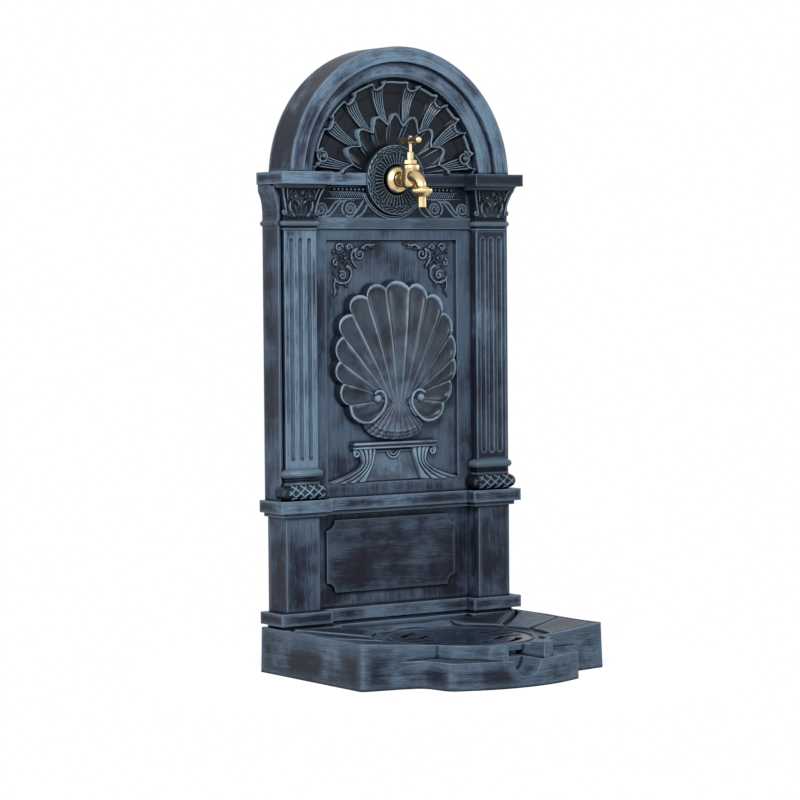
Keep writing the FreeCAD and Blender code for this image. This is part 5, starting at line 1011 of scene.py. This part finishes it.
SPRAY_STEMS = (
    (spiral((50.8, 553.0), 8.6, 2.0, 60, -1.35), 1.7, 1.1),
    (smooth_line([(55.0, 560.5), (62.0, 557.0), (64.5, 549.0), (61.0, 541.0), (57.0, 536.5)]), 1.8, 1.2),
    (smooth_line([(47.0, 561.0), (40.0, 565.5), (30.0, 565.0), (22.0, 566.5)]), 1.8, 0.6),
    (spiral((68.0, 562.5), 4.6, 1.6, 200, -0.95), 1.4, 1.0),
    (spiral((84.0, 562.0), 6.2, 2.0, 180, -1.05), 1.5, 1.0),
    (spiral((89.5, 541.5), 5.0, 1.6, 100, -0.95), 1.4, 1.0),
    (spiral((79.0, 524.5), 6.4, 1.8, 45, 1.3), 1.7, 1.1),
    (smooth_line([(72.0, 537.5), (66.0, 533.0), (65.0, 524.5), (69.5, 517.0), (78.0, 514.5), (87.0, 516.0),
                  (91.5, 521.0)]), 1.8, 1.2),
    (smooth_line([(90.0, 520.0), (92.0, 511.0), (90.5, 503.0), (92.5, 496.0)]), 1.6, 0.6))
SPRAY_BUDS = (
    (57.0, 536.5, 2.2), (50.8, 553.0, 2.0), (79.0, 524.5, 1.9), (68.0, 562.5, 1.5), (84.0, 562.0, 1.7),
    (89.5, 541.5, 1.5))
SPRAY_LEAVES = (
    ((38.0, 564.0), (24.0, 560.5), 2.2), ((31.0, 566.0), (18.0, 566.8), 1.6),
    ((44.0, 562.0), (36.0, 558.0), 2.0), ((90.0, 508.0), (86.5, 498.0), 2.0),
    ((91.0, 503.0), (92.6, 493.5), 1.6), ((88.0, 514.0), (84.0, 506.5), 2.0),
    ((60.0, 558.0), (62.5, 566.0), 2.2), ((92.0, 552.0), (93.5, 560.0), 2.2),
    ((91.0, 531.0), (92.0, 524.0), 2.0), ((66.0, 540.0), (62.0, 532.0), 2.0),
    ((70.0, 556.0), (73.0, 566.0), 3.0), ((64.0, 552.0), (58.0, 545.0), 3.0),
    ((82.0, 555.0), (92.0, 558.0), 3.0), ((72.0, 541.0), (68.0, 530.0), 3.0),
    ((82.0, 540.0), (90.0, 533.0), 3.0), ((50.0, 561.0), (41.0, 560.0), 2.6),
    ((86.0, 520.0), (80.0, 511.0), 2.6), ((76.0, 515.0), (70.0, 508.0), 2.6))


def spray_form():
    """A flower between two curls, with leaves that trail along the field's top and side."""
    form = Form()
    flower(form, (75.4, 547.7), 8.6, FIELD_Y)
    for line, thick, thin in SPRAY_STEMS:
        form.tube(lay(line, FIELD_Y - 1.0), taper(line, 1.25 * thick, 1.25 * thin))
    for x, z, radius in SPRAY_BUDS:
        form.ball((x, FIELD_Y - 1.8, z), radius)
    for root, tip, half in SPRAY_LEAVES:
        petal(form, root, tip, half, FIELD_Y, 3.0)
    return form


spray = spray_form()
make_piece("corner_spray_right_carving", spray, carved_plastic, replaces=["corner_spray_right"])
make_piece("corner_spray_left_carving", Form().take(spray, mirrored=True), carved_plastic,
           replaces=["corner_spray_left"])


# Frieze: beads, leaves and running scrolls on both sides of the rosette

# The right half, from the rosette's rim outward

FRIEZE_START = 30.0
FRIEZE_END = 122.0
FRIEZE_LOW = 601.0
FRIEZE_TOP = 645.0
FRIEZE_Y = WALL_Y - 1.2
FRIEZE_TENDRILS = (
    ((47.0, 625.0), (53.0, 617.0), (60.0, 608.5), (68.0, 603.0), (76.5, 604.5)),
    ((77.0, 624.5), (85.0, 621.5), (94.0, 612.0), (103.0, 604.0), (113.0, 602.0)),
    ((83.0, 625.5), (93.0, 621.5), (99.5, 614.0), (105.0, 608.0)),
    ((41.0, 620.0), (46.0, 611.0), (53.0, 604.5), (60.0, 602.0)),
    ((62.0, 625.5), (72.0, 626.0), (79.0, 621.0), (82.0, 613.0), (78.0, 606.0)))
STRAND = 0.62


def twin(form, line, y, gap):
    """Two fine strands side by side along a line of (x, z)."""
    along = np.gradient(line, axis=0)
    aside = np.stack([-along[:, 1], along[:, 0]], axis=-1)
    aside /= np.linalg.norm(aside, axis=1)[:, None] + TINY
    for hand in (-1, 1):
        form.tube(lay(line + aside * hand * gap / 2, y), STRAND, sides=6)


def frieze_form():
    """Half of the frieze, from the rosette to the capital."""
    form = Form()
    form.prism([(FRIEZE_START, FRIEZE_LOW), (FRIEZE_START, FRIEZE_TOP), (FRIEZE_END, FRIEZE_TOP),
                (FRIEZE_END, FRIEZE_LOW)], FRIEZE_Y, WALL_Y)
    for x in np.arange(49.0, 100.0, 6.6):
        form.ball((x, FRIEZE_Y - 1.4, 639.3), 2.3)
    for end, level, thick in ((106.0, 643.3, 1.3), (106.0, 635.6, 0.8), (112.0, 627.0, 1.1)):
        form.tube(lay([(44.0, level), (end, level)], FRIEZE_Y - 0.6), thick, sides=6)
    for x in np.arange(45.0, 101.0, 3.5):
        low, middle, top = (x, 628.4), (x + 1.6, 631.6), (x + 3.8, 634.6)
        dash = lay([low, middle, top], FRIEZE_Y - 0.9)
        dash[1, 1] -= 0.3
        form.tube(dash, 0.85, sides=6)
    for x, z in ((69.0, 613.3), (115.0, 612.6)):
        twin(form, spiral((x, z), 11.0, 1.8, -60, -2.0, steps=70), FRIEZE_Y - 0.4, 1.5)
        form.ball((x, FRIEZE_Y - 1.0, z), 1.7)
    for points in FRIEZE_TENDRILS:
        twin(form, smooth_line(points), FRIEZE_Y - 0.3, 1.4)
    collar_angle = np.radians(np.linspace(0, 68, 30))
    for reach, thick in ((49.0, 1.6), (52.0, 1.1)):
        line = np.stack([reach * np.sin(collar_angle), TAP_Z - reach * np.cos(collar_angle)], axis=-1)
        form.tube(lay(line, FRIEZE_Y - 1.0), thick)
    return form


half_frieze = frieze_form()
frieze = Form().take(half_frieze).take(half_frieze, mirrored=True)
for low, high, proud in ((587.0, 600.4, 3.0), (599.6, 601.8, 1.8)):
    frieze.slab(130.2, low, high, WALL_Y, proud, crest=0.62)
make_piece("frieze_carving", frieze, carved_plastic, replaces=["frieze"])


# Capitals and pilaster bases

PILASTER_IN = 130.5
PILASTER_OUT = 180.0
PILASTER_Y = 121.0
PILASTER_MIDDLE = (PILASTER_IN + PILASTER_OUT) / 2
CORNER_R = 2.0
CORNER_STEPS = 5
FRONT_STEPS = 12


def wrap(profile):
    """A moulding's surface round three sides of a pilaster. The profile gives (outward reach, height)."""
    quarter = np.linspace(0, math.pi / 2, CORNER_STEPS + 1)
    rows = []
    for proud, z in profile:
        radius = CORNER_R + proud * 0.5
        low_x, high_x = PILASTER_IN - proud + radius, PILASTER_OUT + proud - radius
        front = PILASTER_Y - proud
        path = [(low_x - radius, WALL_Y)]
        path += [(low_x - radius * math.cos(a), front + radius - radius * math.sin(a)) for a in quarter]
        path += [(x, front) for x in np.linspace(low_x, high_x, FRONT_STEPS + 1)[1:-1]]
        path += [(high_x + radius * math.sin(a), front + radius - radius * math.cos(a)) for a in quarter]
        path.append((high_x + radius, WALL_Y))
        rows.append([(x, y, z) for x, y in path])
    return np.array(rows).transpose(1, 0, 2)


def arc_profile(centre_reach, centre_z, radius, start, end, steps):
    """Part of a round in a moulding's profile; angles from the outward direction, upward."""
    turn = np.radians(np.linspace(start, end, steps))
    return [(centre_reach + radius * math.cos(a), centre_z + radius * math.sin(a)) for a in turn]


CUSHION_Z = 239.6
CUSHION_R = 9.6
LATTICE = 14.0


def pilaster_base_form():
    """A latticed cushion, fillets and a round roll under the shaft."""
    form = Form()
    profile = ([(0.5, 228.8), (2.0, 229.0)] + arc_profile(1.2, CUSHION_Z, CUSHION_R, -88, 88, 15)[1:-1]
               + [(2.6, 250.2), (2.6, 252.5), (1.0, 252.8), (1.0, 255.0)]
               + [(2.0, 255.2), (2.0, 257.5), (0.6, 257.8)]
               + arc_profile(1.2, 264.0, 5.2, -80, 80, 9) + [(0.4, 270.2)])
    heights = np.array(profile)[:, 1]
    painted = 0.75 * (heights > 258.0) + 0.6 * (heights > 250.0) * (heights < 252.6)
    form.sheet(wrap(profile), relief=6.0, painted=painted)
    low_x, high_x = PILASTER_IN - 4.0, PILASTER_OUT + 4.0

    def cushion_y(z):
        return PILASTER_Y - 1.2 - math.sqrt(max(CUSHION_R ** 2 - (z - CUSHION_Z) ** 2, 0.0))

    for start in np.arange(PILASTER_IN - 1.5 * LATTICE, PILASTER_OUT + 1.5 * LATTICE, LATTICE):
        for hand in (-1, 1):
            rising = [(start + hand * (z - CUSHION_Z) * 1.25, z) for z in np.linspace(230.5, 248.6, 15)]
            points = [(x, cushion_y(z) - 0.2, z) for x, z in rising if low_x < x < high_x]
            if len(points) > 4:
                form.tube(points, 1.5)
    for x in np.arange(PILASTER_IN - 0.5 * LATTICE, PILASTER_OUT + 1.5 * LATTICE, LATTICE):
        if low_x < x < high_x:
            form.ball((x, cushion_y(CUSHION_Z) + 0.4, CUSHION_Z), 1.9)
    return form


BELL_LOW = 601.0
BELL_TALL = 38.0


def bell_reach(z):
    """How far the capital's bell stands out at a height."""
    climb = min(max((z - BELL_LOW) / BELL_TALL, 0.0), 1.0)
    return 0.2 + 9.0 * (1 - math.sqrt(1 - climb ** 2 * 0.97))


# The capital's leaves on one side of its middle, from root to tip with half their width and their rise

CAPITAL_LEAVES = (
    ((3.5, 601.5), (9.0, 617.0), 3.4, 3.0), ((8.0, 601.5), (17.0, 613.0), 3.4, 3.0),
    ((13.0, 601.0), (20.5, 619.5), 3.2, 2.8), ((4.0, 618.0), (7.5, 603.5), 2.0, 2.2),
    ((1.5, 628.0), (6.0, 619.0), 2.2, 2.4), ((17.5, 637.0), (21.0, 627.0), 2.4, 2.4),
    ((15.0, 621.5), (20.0, 612.5), 2.2, 2.4))
CAPITAL_STEMS = (
    (((1.5, 616.0), (4.0, 620.0), (7.0, 623.0)), 0.8, 1.1, 1.6),
    (((10.0, 602.5), (14.0, 608.0), (17.5, 615.0), (17.0, 622.0)), 0.8, 1.2, 1.6),
    (((32.0, 639.5), (29.0, 632.0), (26.2, 623.0), (24.0, 615.0), (22.8, 609.0)), 1.8, 1.6, 0.9),
    (((24.8, 639.0), (22.8, 632.0), (21.0, 625.0)), 1.2, 0.8, 1.2))


def capital_form():
    """A spreading bell with leaves, leaf rosettes and corner scrolls, over a ring and under a thin slab."""
    form = Form()
    profile = ([(0.3, 585.0), (1.8, 585.3), (1.8, 587.0), (0.8, 587.3), (0.8, 589.0)]
               + arc_profile(0.8, 593.4, 3.6, -75, 75, 7)
               + [(0.6, 597.3), (1.6, 597.8), (1.6, 599.6), (0.2, 600.0)]
               + [(bell_reach(z), z) for z in np.linspace(BELL_LOW, 638.5, 14)]
               + [(10.4, 639.4), (11.6, 640.0), (11.6, 642.4), (13.0, 642.8), (13.0, 645.0)])
    heights = np.array(profile)[:, 1]
    rolls = (heights > 585.2) & (heights < 587.1) | (heights > 590.0) & (heights < 597.0)
    painted = 0.75 * rolls + 0.6 * (heights > 639.9)
    form.sheet(wrap(profile), relief=6.0, painted=painted)

    def bell_y(z):
        return PILASTER_Y - bell_reach(z)

    def leaf(side, root, tip, half, rise):
        ends = [(PILASTER_MIDDLE + side * x, z) for x, z in (root, tip)]
        petal(form, *ends, half, bell_y(root[1]), rise, bell_y(tip[1]))

    leaf(1, (0.0, 603.0), (0.0, 627.0), 4.6, 3.6)
    for side in (-1, 1):
        for root, tip, half, rise in CAPITAL_LEAVES:
            leaf(side, root, tip, half, rise)
        for reach in (2.6, 8.2, 13.8, 19.4):
            leaf(side, (reach, 607.5), (reach + 0.6, 600.8), 2.5, 2.6)
        flower(form, (PILASTER_MIDDLE + side * 11.0, 629.0), 7.4, bell_y(629.0) - 0.8, petals=7)
        for points, thick, thin, lift in CAPITAL_STEMS:
            line = smooth_line([(PILASTER_MIDDLE + side * x, z) for x, z in points])
            path = [(x, bell_y(z) - lift, z) for x, z in line]
            form.tube(path, taper(line, thick, thin))
        curl_x = PILASTER_MIDDLE + side * 25.4
        curl = spiral((curl_x, 608.2), 3.6, 2.6, 90 + side * 60, side * 0.8, steps=20)
        form.tube(lay(curl, bell_y(608.0) - 1.2), 1.1)
        form.ball((curl_x, bell_y(608.0) - 1.6, 608.2), 2.7)
    flower(form, (PILASTER_MIDDLE, 634.0), 4.6, bell_y(634.0) - 0.8, petals=5)
    return form


for label, shaped in (("capital", capital_form()), ("pilaster_base", pilaster_base_form())):
    for word in ("right", "left"):
        make_piece(f"{label}_{word}_carving", Form().take(shaped, mirrored=word == "left"), carved_plastic,
                   replaces=[f"{label}_{word}"])


# The tap

TAP_Y = 90.0
OUTLET_Y = 64.0
HANDLE_Z = 704.0
UNION_RIBS = 60
RIB_DEPTH = 0.35


def casting_form():
    """The tap's casting: barrel with its chamber, shank, and the spout that swells out of the barrel."""
    form = Form()
    barrel = [(0.0, 640.5), (8.6, 640.6), (10.8, 641.8), (11.8, 643.6), (12.0, 647.0), (12.0, 664.0),
              (12.6, 665.8), (12.6, 670.4), (12.0, 671.4), (7.0, 671.5), (7.0, 655.9), (0.0, 655.8)]
    form.lathe(barrel, (0.0, TAP_Y, 0.0), sides=72)
    stations = np.array([
        (83.2, 656.6, 9.7), (81.5, 656.1, 10.2), (79.0, 655.2, 9.8), (75.0, 653.3, 8.8), (70.0, 649.9, 7.8),
        (66.2, 645.8, 7.1), (64.3, 642.0, 6.8), (OUTLET_Y, 640.4, 7.0), (OUTLET_Y, 640.2, 10.4),
        (OUTLET_Y, 634.3, 10.4)])
    y, z, radii = np.vstack([smooth_line(stations[:-3], steps=5), stations[-3:]]).T
    form.pipe(grid_of(0.0, y, z), radii, sides=48)
    shank = [(0.0, 97.2), (9.0, 97.4), (8.2, 99.0), (7.7, 104.0), (8.0, 109.0), (9.6, 112.4), (9.6, 113.4),
             (8.3, 113.5), (8.3, 150.0), (0.0, 150.0)]
    form.lathe(shank, (0.0, 0.0, TAP_Z), sides=48, axis="y")
    return form


def flange_form():
    """A domed flange with a ring round the neck."""
    form = Form()
    profile = [(9.7, 115.0), (10.6, 113.4), (11.8, 113.0), (12.8, 113.6), (13.2, 114.8), (14.6, 115.3),
               (16.4, 116.8), (17.6, 118.6), (18.0, 120.0), (18.0, 121.0), (9.7, 121.0), (9.7, 115.0)]
    form.lathe(profile, (0.0, 0.0, TAP_Z), sides=96, axis="y")
    return form


def handle_form():
    """A T-bar with round ends on a hub."""
    form = Form()
    half = [(4.0, 0.0), (4.0, 4.0), (3.6, 6.5), (3.3, 10.0), (3.3, 13.0), (3.7, 14.6), (4.3, 16.0),
            (4.5, 18.0), (4.1, 20.3), (2.9, 21.8), (1.4, 22.4), (0.0, 22.5)]
    profile = [(radius, TAP_Y - reach) for radius, reach in reversed(half)]
    profile += [(radius, TAP_Y + reach) for radius, reach in half[1:]]
    form.lathe(profile, (0.0, 0.0, HANDLE_Z), sides=32, axis="y")
    hub = [(0.0, 699.4), (3.4, 699.6), (4.3, 700.8), (4.4, 704.0), (4.3, 706.8), (3.5, 708.2), (0.0, 708.4)]
    form.lathe(hub, (0.0, TAP_Y, 0.0), sides=32)
    return form


def union_form():
    """The union nut: a finely ribbed rim with rounded edges over a tapered skirt."""
    form = Form()
    profile = [(8.0, 638.8), (13.2, 638.9), (13.9, 638.5), (14.2, 637.8), (14.2, 634.4), (13.9, 633.7),
               (13.0, 633.2), (12.2, 632.4), (9.6, 629.2), (9.2, 629.0), (6.6, 629.0), (6.6, 638.8),
               (8.0, 638.8)]
    turn = round_turn(8 * UNION_RIBS)[:, None]
    radius, height = np.array(profile).T
    reach = radius - RIB_DEPTH * np.abs(np.sin(turn * UNION_RIBS / 2)) * (radius > 13.5)
    form.sheet(grid_of(reach * np.cos(turn), OUTLET_Y + reach * np.sin(turn), height), round_u=True)
    return form


make_piece("tap_casting", casting_form(), brass, replaces=["tap_body"])
make_piece("tap_flange_dome", flange_form(), brass, replaces=["tap_flange"])
make_piece("tap_handle_bar", handle_form(), brass, body="handle_set", replaces=["handle"])
make_piece("tap_union_nut", union_form(), brass, body="nut", replaces=["union_nut"])


# Floor, light and camera

FLOOR_HALF = 6.0
FLOOR_FADE_Y = 0.03
FADE_START = 0.22
FADE_END = 0.42
FLOOR_PALE = (0.7, 0.7, 0.7)
FLOOR_GREY = (0.34, 0.34, 0.35)
SOFT_LIGHT = 0.22
SOFT_COLOUR = (0.90, 0.95, 1.0)
LAMP_COLOUR = (0.94, 0.97, 1.0)
LAMP_SIZE = 1.2


def when_seen(tree, plain, shown):
    """One shader for the light that falls on the object, and one where camera, gloss or glass see it."""
    rays = tree.nodes.new("ShaderNodeLightPath")
    mirrored = maths(tree, "MAXIMUM", rays.outputs["Is Glossy Ray"], rays.outputs["Is Transmission Ray"])
    final = tree.nodes.new("ShaderNodeMixShader")
    tree.links.new(maths(tree, "MAXIMUM", rays.outputs["Is Camera Ray"], mirrored), final.inputs[0])
    tree.links.new(plain.outputs[0], final.inputs[1])
    tree.links.new(shown.outputs[0], final.inputs[2])
    return final.outputs[0]


def make_floor():
    """A pale floor that keeps the object's shadow and fades into a white surround."""
    mesh = bpy.data.meshes.new("floor")
    corners = [(x * FLOOR_HALF, y * FLOOR_HALF, 0) for x, y in ((-1, -1), (1, -1), (1, 1), (-1, 1))]
    mesh.from_pydata(corners, [], [(0, 1, 2, 3)])
    floor = bpy.data.objects.new("floor", mesh)
    scene.collection.objects.link(floor)
    material, tree, plain = new_material("floor_white")
    plain.inputs["Base Color"].default_value = (*FLOOR_PALE, 1)
    plain.inputs["Specular IOR Level"].default_value = 0.0
    plain.inputs["Roughness"].default_value = 1.0
    place = tree.nodes.new("ShaderNodeTexCoord")
    away = vectors(tree, "SUBTRACT", place.outputs["Object"], (0.0, FLOOR_FADE_Y, 0.0))
    far = spread(tree, vectors(tree, "LENGTH", away), FADE_START, FADE_END)
    matt = tree.nodes.new("ShaderNodeBsdfDiffuse")
    tree.links.new(blend_colour(tree, far, FLOOR_GREY, (0.0, 0.0, 0.0)), matt.inputs["Color"])
    glow = tree.nodes.new("ShaderNodeEmission")
    tree.links.new(spread(tree, far, 0.0, 1.0, 0.78, 1.0), glow.inputs["Strength"])
    shown = tree.nodes.new("ShaderNodeAddShader")
    tree.links.new(matt.outputs[0], shown.inputs[0])
    tree.links.new(glow.outputs[0], shown.inputs[1])
    tree.links.new(when_seen(tree, plain, shown), tree.nodes["Material Output"].inputs["Surface"])
    mesh.materials.append(material)


def make_world():
    """An even soft light that is white where it is seen, directly, in gloss or through glass."""
    world = bpy.data.worlds.new("studio")
    scene.world = world
    world.use_nodes = True
    tree = world.node_tree
    light = tree.nodes["Background"]
    light.inputs["Color"].default_value = (*SOFT_COLOUR, 1)
    light.inputs["Strength"].default_value = SOFT_LIGHT
    white = tree.nodes.new("ShaderNodeBackground")
    white.inputs["Color"].default_value = (1, 1, 1, 1)
    white.inputs["Strength"].default_value = 1.0
    tree.links.new(when_seen(tree, light, white), tree.nodes["World Output"].inputs["Surface"])


def add_lamp(name, place, target, watts):
    """A square soft lamp that faces a target."""
    lamp = bpy.data.lights.new(name, "AREA")
    lamp.size = LAMP_SIZE
    lamp.energy = watts
    lamp.color = LAMP_COLOUR
    item = bpy.data.objects.new(name, lamp)
    scene.collection.objects.link(item)
    item.location = place
    item.rotation_mode = "QUATERNION"
    item.rotation_quaternion = (Vector(target) - Vector(place)).to_track_quat("-Z", "Y")


PICTURE_PIXELS = 800.0
SENSOR_WIDTH = 36.0
FOCAL_PIXELS = 2905.22
CAMERA_PLACE = (-2215.79, -3100.34, 524.90)
CAMERA_YAW = 0.602875
CAMERA_PITCH = 0.0430386
CAMERA_ROLL = -0.00781387


def make_camera():
    """The camera at the photographed angle, as its yaw, pitch and roll give it."""
    data = bpy.data.cameras.new("camera")
    data.sensor_width = SENSOR_WIDTH
    data.lens = SENSOR_WIDTH * FOCAL_PIXELS / PICTURE_PIXELS
    data.clip_end = 100.0
    camera = bpy.data.objects.new("camera", data)
    scene.collection.objects.link(camera)
    level = math.cos(CAMERA_PITCH)
    ahead = Vector((math.sin(CAMERA_YAW) * level, math.cos(CAMERA_YAW) * level, -math.sin(CAMERA_PITCH)))
    right = Vector((math.cos(CAMERA_YAW), -math.sin(CAMERA_YAW), 0))
    up = right.cross(ahead)
    rolled_right = right * math.cos(CAMERA_ROLL) + up * math.sin(CAMERA_ROLL)
    rolled_up = up * math.cos(CAMERA_ROLL) - right * math.sin(CAMERA_ROLL)
    turn = Matrix((rolled_right, rolled_up, -ahead)).transposed().to_4x4()
    camera.matrix_world = Matrix.Translation(Vector(CAMERA_PLACE) * MM) @ turn
    scene.camera = camera


make_floor()
make_world()
add_lamp("key", (-1.35, -1.6, 1.8), (-0.1, 0.05, 0.5), watts=72)
add_lamp("right", (2.4, -0.8, 1.3), (0.0, 0.0, 0.5), watts=18)
add_lamp("left", (-2.6, 0.3, 1.2), (0.0, 0.05, 0.4), watts=16)
make_camera()
scene.view_settings.view_transform = "Standard"
